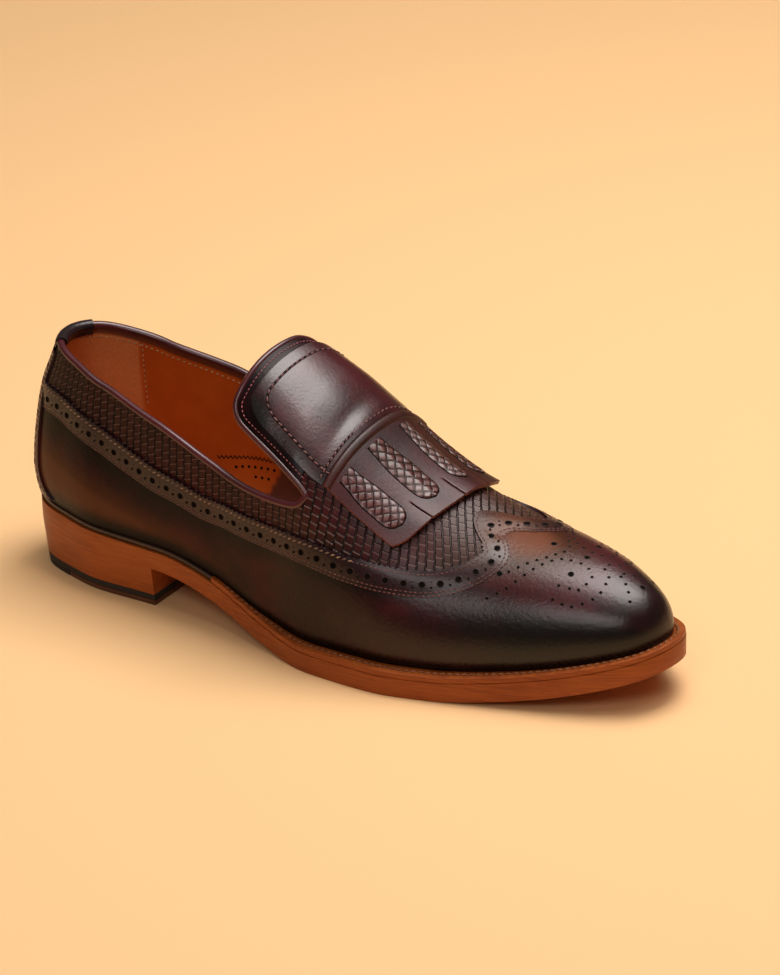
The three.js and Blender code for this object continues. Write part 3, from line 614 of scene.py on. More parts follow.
class Tree:
    """One material's nodes."""

    def __init__(self, name):
        self.material = bpy.data.materials.new(name)
        self.material.use_nodes = True
        self.nodes = self.material.node_tree.nodes
        self.links = self.material.node_tree.links
        self.shader = self.nodes["Principled BSDF"]

    def put(self, socket, value):
        if isinstance(value, Maths):
            value = value.socket
        if isinstance(value, bpy.types.NodeSocket):
            self.links.new(value, socket)
        elif isinstance(value, (tuple, list)) and len(value) == 3 and socket.type == "RGBA":
            socket.default_value = (*value, 1)
        else:
            socket.default_value = value

    def node(self, kind, settings=None, values=(), output=0):
        """A node of that type: its settings first, then its sockets by number or name."""
        node = self.nodes.new(kind)
        for key, value in (settings or {}).items():
            setattr(node, key, value)
        items = values.items() if isinstance(values, dict) else enumerate(values)
        for key, value in items:
            self.put(node.inputs[key], value)
        return Maths(self, node.outputs[output])

    def mark(self, name):
        return self.node("ShaderNodeAttribute", {"attribute_name": name}, output="Fac")

    def place(self):
        return self.node("ShaderNodeTexCoord", output="Object")

    def pattern(self):
        uv = self.node("ShaderNodeUVMap", {"uv_map": "pattern"})
        parts = self.nodes.new("ShaderNodeSeparateXYZ")
        self.links.new(uv.socket, parts.inputs[0])
        return Maths(self, parts.outputs[0]), Maths(self, parts.outputs[1])

    def noise(self, scale, detail=3.0, roughness=0.55, stretch=None):
        vector = self.place()
        if stretch:
            vector = self.node("ShaderNodeMapping", {}, {"Vector": vector, "Scale": stretch})
        return self.node("ShaderNodeTexNoise", {}, {
            "Vector": vector, "Scale": scale, "Detail": detail, "Roughness": roughness})

    def color(self, share, low, high):
        return self.node("ShaderNodeMix", {"data_type": "RGBA", "clamp_factor": True}, {
            0: share, 6: low, 7: high}, output=2)

    def bump(self, height, strength, distance, after=None):
        values = {"Height": height, "Strength": strength, "Distance": distance}
        if after is not None:
            values["Normal"] = after
        return self.node("ShaderNodeBump", {}, values)

    def done(self, color, roughness, normal=None, coat=0.0, coat_roughness=0.1, **constants):
        shader = self.shader.inputs
        self.put(shader["Base Color"], color)
        self.put(shader["Roughness"], roughness)
        self.put(shader["Coat Weight"], coat)
        shader["Coat Roughness"].default_value = coat_roughness
        for key, value in constants.items():
            shader[key.replace("_", " ")].default_value = value
        if normal is not None:
            self.put(shader["Normal"], normal)
        return self.material

    def polished(self, color, roughness, normal, dull_roughness, dull_level, polish):
        """The finish of done and a duller one, mixed by the map of the polish."""
        glossy = self.shader
        self.shader = self.nodes.new("ShaderNodeBsdfPrincipled")
        self.done(color, dull_roughness, normal, Specular_IOR_Level=dull_level)
        dull, self.shader = self.shader, glossy
        self.done(color, roughness, normal, Specular_IOR_Level=0.42)
        mixed = self.nodes.new("ShaderNodeMixShader")
        self.put(mixed.inputs[0], polish)
        self.put(mixed.inputs[1], dull.outputs[0])
        self.put(mixed.inputs[2], glossy.outputs[0])
        self.put(self.nodes["Material Output"].inputs[0], mixed.outputs[0])
        return self.material


BLACK = (0.0035, 0.0025, 0.0028)
TRIM_BLACK = (0.017, 0.008, 0.011)
GRAIN_DEPTH = 0.0004
BURGUNDY = (0.062, 0.0075, 0.011)
OXBLOOD = (0.025, 0.0038, 0.0055)
BROWN = (0.06, 0.016, 0.006)
# Tan patina; on the saddle, the tan of a painted reflection.
TAN_PATINA_AND_REFLECTION = (0.17, 0.055, 0.026)
# Pinkish grey painted sheen, laid on the raised edges of the woven scales and in soft streaks.
PAINTED_SHEEN = (0.17, 0.085, 0.078)
RAW_EDGE = (0.34, 0.12, 0.1)


def patina(t, deep=0.0):
    """Hand-polished leather: burgundy and brown in soft clouds, black where it is burnished and as painted
    shade just above the sole; brown to tan by a mark that is patina on most parts and a painted reflection
    on the saddle.
    """
    clouds = t.noise(24.0, 2.0, 0.5)
    fine = t.noise(160.0, 4.0, 0.6)
    warm = t.mark("warm")
    base = t.color((clouds + (fine - 0.5) * 0.35).between(0.35, 0.65), BURGUNDY, OXBLOOD)
    base = t.color(warm.between(0.0, 0.7), base, BROWN)
    base = t.color(warm.between(0.6, 1.0), base, TAN_PATINA_AND_REFLECTION)
    dark = (t.mark("burnish") + (clouds - 0.5) * 0.4 + (fine - 0.5) * 0.22 + deep).between(0.0, 1.0)
    return base, dark


def pores(t):
    """Fine pebbled grain of the leather."""
    return t.noise(620.0, 4.0, 0.62)


def leather(name, deep=0.0, rim_color=None, gloss=0.32, coat=0.1, shine=0.25, burnt=BLACK):
    t = Tree(name)
    base, dark = patina(t, deep)
    color = t.color(dark, base, burnt)
    if rim_color:
        color = t.color(t.mark("rim") * 0.85, color, rim_color)
    rough = gloss - 0.03 + (t.noise(30.0, 2.0) - 0.5) * 0.05
    return t.done(color, rough, t.bump(pores(t), 0.3, GRAIN_DEPTH), coat=coat, coat_roughness=0.2,
                  Specular_IOR_Level=shine)


# Metres, as the pattern coordinates are
WEAVE_CELL = 0.0039
WEAVE_STEP = 0.0044
WEAVE_DEPTH = 0.0013
PLAIT_CELL = 0.0042


def scales(along, around):
    """Woven strips: columns of flat scales, each with a raised front edge; also the mask of a painted
    highlight along that edge and a map of the grooves, which get painted shade with dark polish.
    """
    column = along / WEAVE_CELL
    row = around / WEAVE_STEP + column.floor() * 0.5
    across, up = abs(column.fraction() - 0.5) * 2, row.fraction()
    strip = 1 - (across - up * 0.14).between(0.64, 0.88)
    step = up * 0.55 + 0.45
    drop = 1 - up.between(0.9, 1.0)
    height = strip * step * drop
    # Mask of the painted highlight along the raised front edge of each scale.
    edge = up.between(0.72, 0.9) * drop * strip
    # Mask of the grooves, which get painted shade with dark polish.
    groove = 1 - (1 - across.between(0.8, 0.97)) * drop * up.between(0.0, 0.05)
    return height, edge, groove


def plait(along, around, cell):
    """Two families of strips that pass over and under each other."""
    u, v = (along + around) / cell, (around - along) / cell
    across_u, across_v = abs(u.fraction() - 0.5) * 2, abs(v.fraction() - 0.5) * 2
    odd = ((u.floor() + v.floor()) * 0.5).fraction() * 2
    one = (1 - across_u**6) * (1 - across_v**2 * 0.35)
    two = (1 - across_v**6) * (1 - across_u**2 * 0.35)
    return one + (two - one) * odd.between(0.4, 0.6)


def upper_leather():
    t = Tree("hand-polished upper leather")
    base, dark = patina(t)
    along, around = t.pattern()
    woven = t.mark("woven")
    height, edge, groove = scales(along, around)
    streaks = t.noise(900.0, 3.0, 0.6, stretch=(1, 1, 0.3))
    # Grooves between the strips darkened toward black: painted shade with dark polish.
    color = t.color((dark + groove * woven * 1.2).low(1.0), base, BLACK)
    # Painted sheen: pinkish grey on the scales' raised edges and in soft streaks.
    painted_sheen = (edge * 0.8 + streaks.between(0.5, 0.8) * 0.25) * woven
    color = t.color(painted_sheen.low(1.0), color, PAINTED_SHEEN)
    normal = t.bump(height * woven, 1.0, WEAVE_DEPTH, t.bump(pores(t), 0.3, GRAIN_DEPTH))
    rough = 0.27 + (t.noise(30.0, 2.0) - 0.5) * 0.05 + woven * 0.1
    return t.polished(color, rough, normal, 0.34 + woven * 0.06, 0.1, t.mark("gloss"))


def plain(name, color, second, roughness, scale=40.0, coat=0.0, shine=0.5):
    """One colour that runs softly into a second one."""
    t = Tree(name)
    clouds = t.noise(scale, 4.0, 0.6)
    tint = t.color(clouds.between(0.3, 0.7), color, second)
    return t.done(tint, roughness, t.bump(clouds, 0.1, GRAIN_DEPTH), coat=coat, coat_roughness=0.2,
                  Specular_IOR_Level=shine)


def lining_leather():
    t = Tree("tan lining leather")
    suede = t.mark("suede")
    nap = t.noise(700.0, 4.0, 0.7)
    smooth_tan = t.color(t.noise(30.0, 3.0).between(0.3, 0.7), (0.64, 0.13, 0.007), (0.52, 0.09, 0.005))
    color = t.color(suede, smooth_tan, t.color(nap, (0.6, 0.18, 0.045), (0.88, 0.35, 0.11)))
    # The binding's dark colour, also used as painted shade deep in the front of the shoe.
    color = t.color(t.mark("binding"), color, (0.13, 0.032, 0.014))
    return t.done(color, 0.5 + suede * 0.4, t.bump(nap, 0.25, GRAIN_DEPTH))


def polished_edge(name, light, deep):
    """Leather edge: fine level fibres, waxed, darker in places."""
    t = Tree(name)
    fibres = t.noise(120.0, 4.0, 0.65, stretch=(0.5, 0.5, 14))
    clouds = t.noise(14.0, 2.0, 0.5)
    color = t.color((fibres * 0.8 + clouds * 0.35).between(0.36, 0.84), light, deep)
    return t.done(color, 0.36 + fibres * 0.12, t.bump(fibres, 0.22, 0.0003), coat=0.05, coat_roughness=0.25,
                  Specular_IOR_Level=0.25)


def braided_leather():
    t = Tree("braided strip leather")
    along, around = t.pattern()
    strand = plait(along, around, PLAIT_CELL)
    base, dark = patina(t)
    # Low parts of the plait darkened toward black: painted shade between the strands.
    color = t.color((dark + (1 - strand.between(0.15, 0.65)) * 0.9).low(1.0), base, BLACK)
    # Crests of the strands lightened to pinkish brown: painted highlight.
    color = t.color(strand.between(0.82, 1.0) * 0.55, color, (0.17, 0.06, 0.055))
    return t.done(color, 0.36, t.bump(strand, 1.0, 0.0008), coat=0.25, coat_roughness=0.2)


upper_out = upper_leather()
upper_in = lining_leather()
trim_leather = leather("dark polished leather", deep=0.1, shine=0.3, burnt=TRIM_BLACK)
saddle_leather = leather("glossy burgundy leather", gloss=0.3, coat=0.2, shine=0.42)
tab_leather = leather("fringe leather with raw edges", rim_color=RAW_EDGE, gloss=0.42, shine=0.3)
braid_leather = braided_leather()
piping_leather = plain("burgundy piping", (0.085, 0.011, 0.018), (0.045, 0.007, 0.011), 0.3, coat=0.3)
edge_leather = polished_edge("polished sole edge", (0.4, 0.095, 0.015), (0.21, 0.038, 0.006))
rand_leather = plain("dark rand", (0.03, 0.009, 0.006), (0.015, 0.005, 0.004), 0.4, coat=0.2)
insert_leather = plain("heel insert leather", (0.13, 0.04, 0.014), (0.09, 0.027, 0.01), 0.55)
black_rubber = plain("black rubber", (0.012, 0.011, 0.011), (0.018, 0.016, 0.015), 0.75, 300.0)
sock_leather = plain("tan sock leather", (0.34, 0.09, 0.015), (0.26, 0.065, 0.01), 0.5)
red_thread = plain("red thread", (0.2, 0.06, 0.05), (0.07, 0.018, 0.016), 0.55, 500.0)
pink_thread = plain("pink thread", (0.5, 0.14, 0.17), (0.3, 0.07, 0.09), 0.55, 500.0)
beige_thread = plain("worn beige thread", (0.34, 0.19, 0.12), (0.09, 0.045, 0.03), 0.6, 500.0)
dark_thread = plain("waxed burgundy thread", (0.26, 0.11, 0.11), (0.1, 0.03, 0.03), 0.38, 500.0)
# Near black painted shade: thin lines in the stitched channels and under the lining's pinked edge.
painted_shade_line = plain("stitched channel", (0.006, 0.003, 0.003), (0.01, 0.005, 0.005), 0.8, shine=0.1)
tan_thread = plain("tan thread", (0.75, 0.42, 0.2), (0.5, 0.24, 0.1), 0.6, 900.0)
welt_thread = plain("welt thread", (0.3, 0.1, 0.035), (0.16, 0.045, 0.015), 0.6, 900.0, shine=0.2)
# Near black painted shade: discs in the punched holes and perforations, rings round the braided strips.
painted_shade_black = plain("punched hole", (0.003, 0.0025, 0.0025), (0.006, 0.004, 0.003), 0.9, shine=0.05)
hole_lip = plain("lip of a hole", (0.05, 0.02, 0.014), (0.02, 0.008, 0.006), 0.4, 300.0, shine=0.3)

# Upper: two walls, the vamp and the tongue, joined into one skin that gets its wall
WALL_COLUMNS = 46
VAMP_COLUMNS = 76
ARC = np.linspace(0, np.pi, 241)
HEEL_ARC = path_length(last_point(ARC, np.full(ARC.shape, 0.75)))
ARC_ACROSS = np.linspace(-1, 1, 161)
AROUND = np.array([path_length(last_point(np.full(161, a), ARC_ACROSS)) for a in ARC])
AROUND = AROUND - AROUND[:, 80:81]


def pattern_at(angle, across):
    """Metres along and around the form, for the weave."""
    along = np.interp(angle, ARC, HEEL_ARC)
    row = np.interp(angle, ARC, np.arange(len(ARC)))
    column = (np.clip(across, -1, 1) + 1) * 80
    i, j = np.clip(row.astype(int), 0, 239), np.clip(column.astype(int), 0, 159)
    a, b = row - i, column - j
    around = (
        (AROUND[i, j] * (1 - a) + AROUND[i + 1, j] * a) * (1 - b)
        + (AROUND[i, j + 1] * (1 - a) + AROUND[i + 1, j + 1] * a) * b
    )
    return along, around


WEAVE_LEAN = 0.63
WEAVE_SLOPE = 0.5
WEAVE_SQUEEZE = 0.3
LEAN_START = 62.0
LEAN_FULL = 24.0


def weave_at(angle, across):
    """Metres across and up the woven strips: upright on the sides, leaning over the instep."""
    along, around = pattern_at(angle, across)
    steps = np.linspace(-LEAN_START, LEAN_START, 200)
    lean = np.concatenate([[0], np.cumsum(smooth_step(LEAN_START, LEAN_FULL, np.abs(steps[1:])))])
    lean = lean * (steps[1] - steps[0])
    shift = np.interp(around, steps, lean - lean[100])
    up = around * (1 + WEAVE_SQUEEZE) - WEAVE_SQUEEZE * shift
    return np.stack([along + WEAVE_LEAN * shift, up - WEAVE_SLOPE * along], axis=-1) / 1000


def wing_line(side):
    """Middle line of the band on one side, from beside the heel panel to the peak."""
    sign = -1 if side == "outer" else 1
    rows = WING[side]
    places = [(BAND_START, rows[0][1])] + [(at * SOLE_LENGTH, across) for at, across in rows]
    x, across = np.array(places).T
    knots = path_length(np.stack([x, across * 80], axis=1))
    fine = np.linspace(0, knots[-1], 400)
    return angle_at(smooth_line(knots, x)(fine)), sign * smooth_line(knots, across)(fine)


wing_lines = {s: spaced(*wing_line(s), 1.0) for s in WING}


def band_distance(angle, across):
    """Share across minus the band's middle line: above 0 on the side of the sole."""
    x = place_of(angle)
    out = {}
    for side, (line_angle, line_across) in wing_lines.items():
        forward = np.argmax(place_of(line_angle))
        out[side] = np.interp(x, place_of(line_angle[:forward]), np.abs(line_across[:forward]))
    return np.abs(across) - np.where(across < 0, out["outer"], out["inner"])


def inside_woven(angle, across):
    """1 where the woven leather shows: above the band and behind the peak."""
    loop = []
    for side, order in (("outer", 1), ("inner", -1)):
        line_angle, line_across = wing_lines[side]
        loop.append(np.stack([place_of(line_angle), line_across * 100], axis=1)[::order])
    polygon = np.concatenate(loop + [np.array([[-50, 0]])])
    x, y = place_of(angle).ravel(), (across * 100).ravel()
    inside = np.zeros(x.shape, bool)
    for (x0, y0), (x1, y1) in zip(polygon, np.roll(polygon, -1, axis=0)):
        if y0 == y1:
            continue
        crossing = (y0 > y) != (y1 > y)
        inside ^= crossing & (x < (x1 - x0) * (y - y0) / (y1 - y0) + x0)
    return inside.reshape(np.shape(across)).astype(float)


TONGUE_BASE = 152.0
TONGUE_SPREAD = 0.51
GRIP_END = 30.0
BINDING = 0.024
POCKET = 91.5
# Places along the shoe between which its patina changes
TOE_FADE = (190, 250)
TOE_TIP = (262, 290)
QUARTER_FADE = (20, 170)
WARM_HEEL = (70, 150)
WARM_VAMP = (185, 220)
GLOSS_RISE = (110, 240)


def skin(name, angle, across, binding=0.0):
    """A part of the upper with its patina: burnished by the sole, the band and the edges, with painted shade
    just above the sole.
    """
    x = place_of(angle)
    down = np.abs(across)
    tongue = (down < TONGUE_SPREAD) & (x < TONGUE_BASE)
    woven = inside_woven(angle, across) * ~tongue
    below = band_distance(angle, across)
    fore = smooth_step(*TOE_FADE, x)
    # Darker just above the sole: burnish, with painted shade where the upper curves in over the welt.
    by_sole = smooth_step(0.93, 1.0, down) * 1.1
    by_band = (1 - smooth_step(0.0, 0.16, below)) * (below > -0.01) * (1 - fore)
    toe_side = smooth_step(0.42, 0.72, down) * fore * 0.85
    toe_tip = smooth_step(*TOE_TIP, x) * 0.6
    waist = np.exp(-((x - 150) / 45) ** 2) * 0.45
    foxing = 0.05 + np.maximum.reduce([by_sole, by_band, toe_side, toe_tip, waist])
    quarter = mix(0.5, 0.28, smooth_step(*QUARTER_FADE, x))
    burnish = np.where(woven > 0.5, quarter, foxing)
    burnish = np.where(tongue, 0.74, burnish)
    warm_heel = (1 - smooth_step(*WARM_HEEL, x)) * smooth_step(0.06, 0.16, below) * 0.75
    warm_toe = np.exp(-((x - 236) / 22) ** 2 - ((across + 0.12) / 0.26) ** 2)
    warm_vamp = smooth_step(*WARM_VAMP, x) * 0.6 * woven
    warm = np.clip(np.maximum.reduce([warm_heel * (1 - woven), warm_toe, warm_vamp]), 0, 1)
    suede = smooth_step(0, 1, np.clip((GRIP_END - x) / 2, 0, 1))
    gloss = (0.08 + 0.92 * smooth_step(*GLOSS_RISE, x)) * (1 - 0.55 * warm_toe)
    return laid(name, last_point(angle, across), weave_at(angle, across),
                woven=woven, burnish=burnish, warm=warm, gloss=gloss, suede=suede,
                binding=binding, rim=0.0)


def wall_skin(name, sign):
    body = 0.86
    u = np.linspace(0, 1, 150)[:, None]
    v = np.linspace(0, 1, WALL_COLUMNS + 1)[None]
    turn = np.clip((u - body) / (1 - body), 0, 1) * np.pi / 2
    behind = np.clip(u / body, 0, 1) * angle_at(NOTCH_START)
    angle = np.where(u <= body, behind, angle_at(NOTCH_START + NOTCH_RADIUS * np.sin(turn)))
    rim = mix(collar_across(place_of(angle)), NOTCH_ACROSS, 1 - np.cos(turn))
    across = sign * mix(1.0, rim, v)
    angle, across = np.broadcast_arrays(angle, across)
    below = np.abs(across) - np.broadcast_to(rim, across.shape)
    binding = 1 - smooth_step(BINDING - 0.008, BINDING, below)
    # Past the pocket line the lining takes the binding colour as painted shade deep in the front of the
    # shoe.
    front = smooth_step(POCKET, POCKET + 1, place_of(angle) - (np.abs(across) - 0.95) * -60)
    return skin(name, angle, across, np.maximum(binding, front))


def vamp_skin():
    side = np.linspace(0, 1, WALL_COLUMNS + 1)
    middle = np.linspace(-1, 1, VAMP_COLUMNS + 1)[1:-1] * NOTCH_ACROSS
    edge = mix(1.0, NOTCH_ACROSS, side)
    across = np.concatenate([-edge, middle, edge[::-1]])[None]
    angle = np.linspace(angle_at(NOTCH_PLACE), np.pi, 140)[:, None]
    angle, across = np.broadcast_arrays(angle, across)
    return skin("vamp_skin", angle, across)


def tongue_top(across):
    return TONGUE_TOP + TONGUE_TURN * across


def tongue_places(columns, corner_rows, body_rows, notch_rows):
    """Rows of the tongue from its top edge to the notch."""
    corner_place = TONGUE_TOP + TONGUE_CORNER
    spread_at = float(tongue_spread(corner_place / SOLE_LENGTH))
    pair = last_point(angle_at(TONGUE_TOP), np.array([spread_at - 0.01, spread_at]))
    spread_length = np.linalg.norm(pair[1] - pair[0]) / 0.01
    share = np.linspace(-1, 1, columns + 1)
    rows = []
    for turn in np.linspace(np.pi / 2, 0, corner_rows + 1)[:-1]:
        spread = spread_at - TONGUE_CORNER * (1 - math.cos(turn)) / spread_length
        across = share * spread
        rows.append((tongue_top(across) + TONGUE_CORNER * (1 - math.sin(turn)), across))
    for step in np.linspace(0, 1, body_rows + 1):
        spread = float(tongue_spread(mix(corner_place, NOTCH_START, step) / SOLE_LENGTH))
        across = share * spread
        rows.append((mix(tongue_top(across) + TONGUE_CORNER, NOTCH_START, step), across))
    for turn in np.linspace(0, np.pi / 2, notch_rows + 1)[1:]:
        x = NOTCH_START + NOTCH_RADIUS * math.sin(turn)
        spread = mix(float(tongue_spread(x / SOLE_LENGTH)), float(NOTCH_ACROSS), 1 - math.cos(turn))
        rows.append((np.full(share.shape, x), share * spread))
    return angle_at(np.array([row[0] for row in rows])), np.array([row[1] for row in rows])


def make_upper():
    tongue_angle, tongue_across = tongue_places(VAMP_COLUMNS, 9, 22, 10)
    parts = [wall_skin("wall_outer", -1), wall_skin("wall_inner", 1), vamp_skin(),
             skin("tongue_skin", tongue_angle, tongue_across)]
    upper = join("upper_leather", parts, weld=3e-5)
    upper.data.materials.append(upper_out)
    upper.data.materials.append(upper_in)
    finish_with(upper, "SOLIDIFY", thickness=WALL / 1000, offset=-1, material_offset=1,
                use_even_offset=False, material_offset_rim=0)
    return kept(smooth(upper, 60), "upper", slot="upper")


make_upper()


def trimmed(name, pieces, slot, *materials):
    for piece in pieces:
        for material in materials:
            piece.data.materials.append(material)
    return kept(join(name, pieces), slot=slot)


# Piping round the collar and the tongue
def rim_loop():
    turn = np.linspace(0, np.pi / 2, 12)[1:]
    x_notch = NOTCH_START + NOTCH_RADIUS * np.sin(turn)
    behind = np.linspace(0, angle_at(NOTCH_START), 120)
    collar_angle = np.concatenate([behind, angle_at(x_notch)])
    rim = np.concatenate([
        collar_across(place_of(behind)),
        mix(collar_across(x_notch), NOTCH_ACROSS, 1 - np.cos(turn))])
    tongue_angle, tongue_across = tongue_places(40, 10, 24, 12)
    angle = np.concatenate([
        collar_angle, tongue_angle[::-1, 0][1:], tongue_angle[0, 1:], tongue_angle[1:, -1],
        collar_angle[::-1][1:-1]])
    across = np.concatenate([
        -rim, tongue_across[::-1, 0][1:], tongue_across[0, 1:], tongue_across[1:, -1],
        rim[::-1][1:-1]])
    return angle, across


def tube_along(name, centre, side, out, half_side, half_out, sides=10):
    """A closed tube with an oval section, swept along a closed line."""
    turn = np.linspace(0, 2 * np.pi, sides + 1)
    rows = (
        centre[:, None] + side[:, None] * np.cos(turn)[None, :, None] * half_side
        + out[:, None] * np.sin(turn)[None, :, None] * half_out
    )
    rows = np.concatenate([rows, rows[:1]])
    return smooth(join(name, [laid(name, rows)], weld=1e-5), 180)


def smoothed(points, times=3):
    for _ in range(times):
        points = (np.roll(points, 1, axis=0) + 2 * points + np.roll(points, -1, axis=0)) / 4
    return points


rim_angle, rim_across = rim_loop()
rim_normal = smoothed(form_normal(rim_angle, rim_across))
rim_middle = smoothed(last_point(rim_angle, rim_across) - rim_normal * WALL / 2, 1)
rim_along = unit(np.roll(rim_middle, -1, axis=0) - np.roll(rim_middle, 1, axis=0))
rim_side = unit(rim_normal - rim_along * (rim_normal * rim_along).sum(-1, keepdims=True))
rim_out = np.cross(rim_side, rim_along)
piping = tube_along("collar_roll", rim_middle + rim_out * 0.9, rim_side, rim_out, 1.7, 1.5)
kept(piping, "collar_piping", slot="collar_piping", materials=[piping_leather])


def heel_patch():
    """A folded patch of dark leather over the top edge at the back seam."""
    reach = 12.0
    length = path_length(rim_middle)
    total = length[-1] + np.linalg.norm(rim_middle[0] - rim_middle[-1])
    order = np.where(length > total / 2, length - total, length)
    near = np.argsort(order)
    near = near[np.abs(order[near]) < reach]
    turn = np.linspace(-0.2 * np.pi, 1.2 * np.pi, 15)
    rows = []
    for i in near:
        side = rim_side[i] * np.cos(turn)[:, None] * 2.1
        out = rim_out[i] * (np.sin(turn)[:, None] * 1.8 + 0.8)
        skirt = np.array([-5.5, -3.5, -1.6])[:, None]
        first = rim_middle[i] + rim_side[i] * 1.9 + rim_out[i] * skirt
        last = rim_middle[i] - rim_side[i] * 1.7 + rim_out[i] * skirt[::-1] * 0.5
        rows.append(np.concatenate([first, rim_middle[i] + side + out, last]))
    patch = laid("heel_patch", np.array(rows), burnish=0.8, warm=0.2, rim=0.0)
    patch = join("heel_patch", [patch], weld=1e-6)
    finish_with(patch, "SOLIDIFY", thickness=0.0005, offset=1)
    return kept(smooth(patch, 60), slot="heel_panel", materials=[trim_leather])


heel_patch()

# Wing band: a strip with a pinked upper edge, joined at the peak
PEAK_REACH = 5.0
PEAK_CROTCH = 11.0
PEAK_TURN = 0.035
PEAK_BLEND = 12.0
TOOTH = 2.4
TOOTH_DEPTH = 0.9
HALF_BAND = BAND_WIDTH / 2
BAND_LIFT = 1.1


def band_lift(offset):
    """The band stands up at its pinked edge and lies flush with the leather at its lower edge."""
    return 0.12 + (BAND_LIFT - 0.12) * smooth_step(-HALF_BAND - 1, HALF_BAND - 1, offset)


def band_columns(side, offsets, teeth=0.0):
    """Lines beside the middle of the band, drawn together to the peak at their end."""
    angle, across = spaced(*wing_lines[side], TOOTH / 2)
    keep = len(angle) - int(round(PEAK_BLEND / (TOOTH / 2)))
    forward = 1 if side == "outer" else -1
    tooth = np.where(np.arange(len(angle)) % 2 == 0, teeth, 0)
    columns_angle, columns_across = [], []
    for offset in offsets:
        distance = np.full(len(angle), offset) + (tooth if offset > 0.88 * HALF_BAND else 0)
        a, s = sideways(angle, across, distance * forward)
        columns_angle.append(a[:keep])
        columns_across.append(s[:keep])
    rows_angle, rows_across = np.array(columns_angle).T, np.array(columns_across).T
    peak = WING["outer"][-1][0] * SOLE_LENGTH
    ahead = mix(PEAK_CROTCH, -PEAK_REACH, (np.array(offsets) + HALF_BAND) / BAND_WIDTH)
    end_across = -WING["outer"][-1][1] - np.clip(ahead / PEAK_REACH, -1, 1) * PEAK_TURN
    steps = np.linspace(0, 1, 11)[1:, None]
    crown = mix(rows_angle[-1:], angle_at(peak + ahead)[None], np.sin(steps * np.pi / 2))
    rows_angle = np.concatenate([rows_angle, crown])
    rows_across = np.concatenate([rows_across, mix(rows_across[-1:], end_across[None], steps)])
    return rows_angle, rows_across


def band_path(offset):
    """One line along both sides of the band, round its peak."""
    outer, inner = ([values[:, 0] for values in band_columns(side, [offset])] for side in ("outer", "inner"))
    return gathered([outer, [values[::-1][1:] for values in inner]])


def make_band():
    offsets = np.concatenate([[-5, -4.4, -3], np.linspace(-2, 3, 5), [4.4, 5]]) * HALF_BAND / 5
    outer, inner = (band_columns(side, offsets, TOOTH_DEPTH) for side in ("outer", "inner"))
    angle, across = gathered([outer, [values[::-1][1:] for values in inner]])
    x = place_of(angle)
    warm = np.exp(-((x - 224) / 20) ** 2 - ((across + 0.1) / 0.34) ** 2) * 0.85
    dark = mix(0.7, 0.6, smooth_step(60, 200, x)) - 0.7 * warm
    lift = band_lift(offsets)[None]
    band = overlay("wing_band_leather", angle, across, lift, burnish=dark, warm=warm)
    return kept(band, "wing_band", slot="wing_band", materials=[trim_leather])


make_band()


def part_of(angle, across, keep):
    return angle[keep], across[keep]


upper_line = band_path(3.9)
behind_vamp = place_of(upper_line[0]) < 178
sides_of = (upper_line[1] < 0, upper_line[1] >= 0)
top_lift = float(band_lift(3.9))
quarter_rows = [
    stitches("quarter_row", *part_of(*upper_line, behind_vamp & side), 1.8, 0.7, 0.7, top_lift, 0.45)
    for side in sides_of]
vamp_row = stitches("vamp_row", *part_of(*upper_line, ~behind_vamp), 1.4, 0.5, 0.5, top_lift)
lower_rows = [
    stitches("lower_row", *band_path(offset), 1.5, 0.5, 0.6, float(band_lift(offset)))
    for offset in (-3.1, -4.6)]
trimmed("quarter_stitches", quarter_rows, "wing_band", beige_thread)
trimmed("band_stitches", [vamp_row] + lower_rows, "wing_band", red_thread)

HOLE_STEP = 7.4
BAND_HOLE = 1.3
STRAP_HOLE = 1.25
PIN_HOLE = 0.45
PIN_ASIDE = 1.25
HOLE_LIFT = 0.08
middle_line = band_path(0.0)
to_peak = np.argmin(np.abs(middle_line[1] + WING["outer"][-1][1] + 0.004) + (place_of(middle_line[0]) < 200))
big_places, pin_places = [], []
for part in (slice(to_peak, None, -1), slice(to_peak, None, 1)):
    line_angle, line_across = middle_line[0][part], middle_line[1][part]
    length = path_length(last_point(line_angle, line_across))
    at = np.arange(0 if part.step < 0 else HOLE_STEP, length[-1] - 2, HOLE_STEP)
    big_places.append(places_at(at, length, line_angle, line_across))
    between = np.arange(HOLE_STEP / 2, length[-1] - 2, HOLE_STEP)
    a, s = places_at(between, length, line_angle, line_across)
    for offset in (-PIN_ASIDE, PIN_ASIDE):
        pin_places.append(sideways(a, s, offset))
face_lift = float(band_lift(0.0)) + HOLE_LIFT
trimmed("band_holes", [
    holes("big_holes", *gathered(big_places), BAND_HOLE, face_lift),
    holes("pin_holes", *gathered(pin_places), PIN_HOLE, face_lift)], "wing_band", hole_lip, painted_shade_black)

# Saddle, fold and fringe
KILTIE_FOLD = 165.0
KILTIE_TURN = 8.0
KILTIE_LENGTH = 38.0
KILTIE_AXIS = -0.06
KILTIE_ROOT = 0.35
KILTIE_END = 0.4
KILTIE_CURVE = 30.0
KILTIE_LIFT = 2.0
TAB_THICKNESS = 1.8
SLIT_START = 27.0
SADDLE_BACK = 5.0
SADDLE_END = 160.0
SADDLE_LIFT = 1.7


def fold_place(across):
    return KILTIE_FOLD + KILTIE_TURN * across


SADDLE_CORNER = 8.0


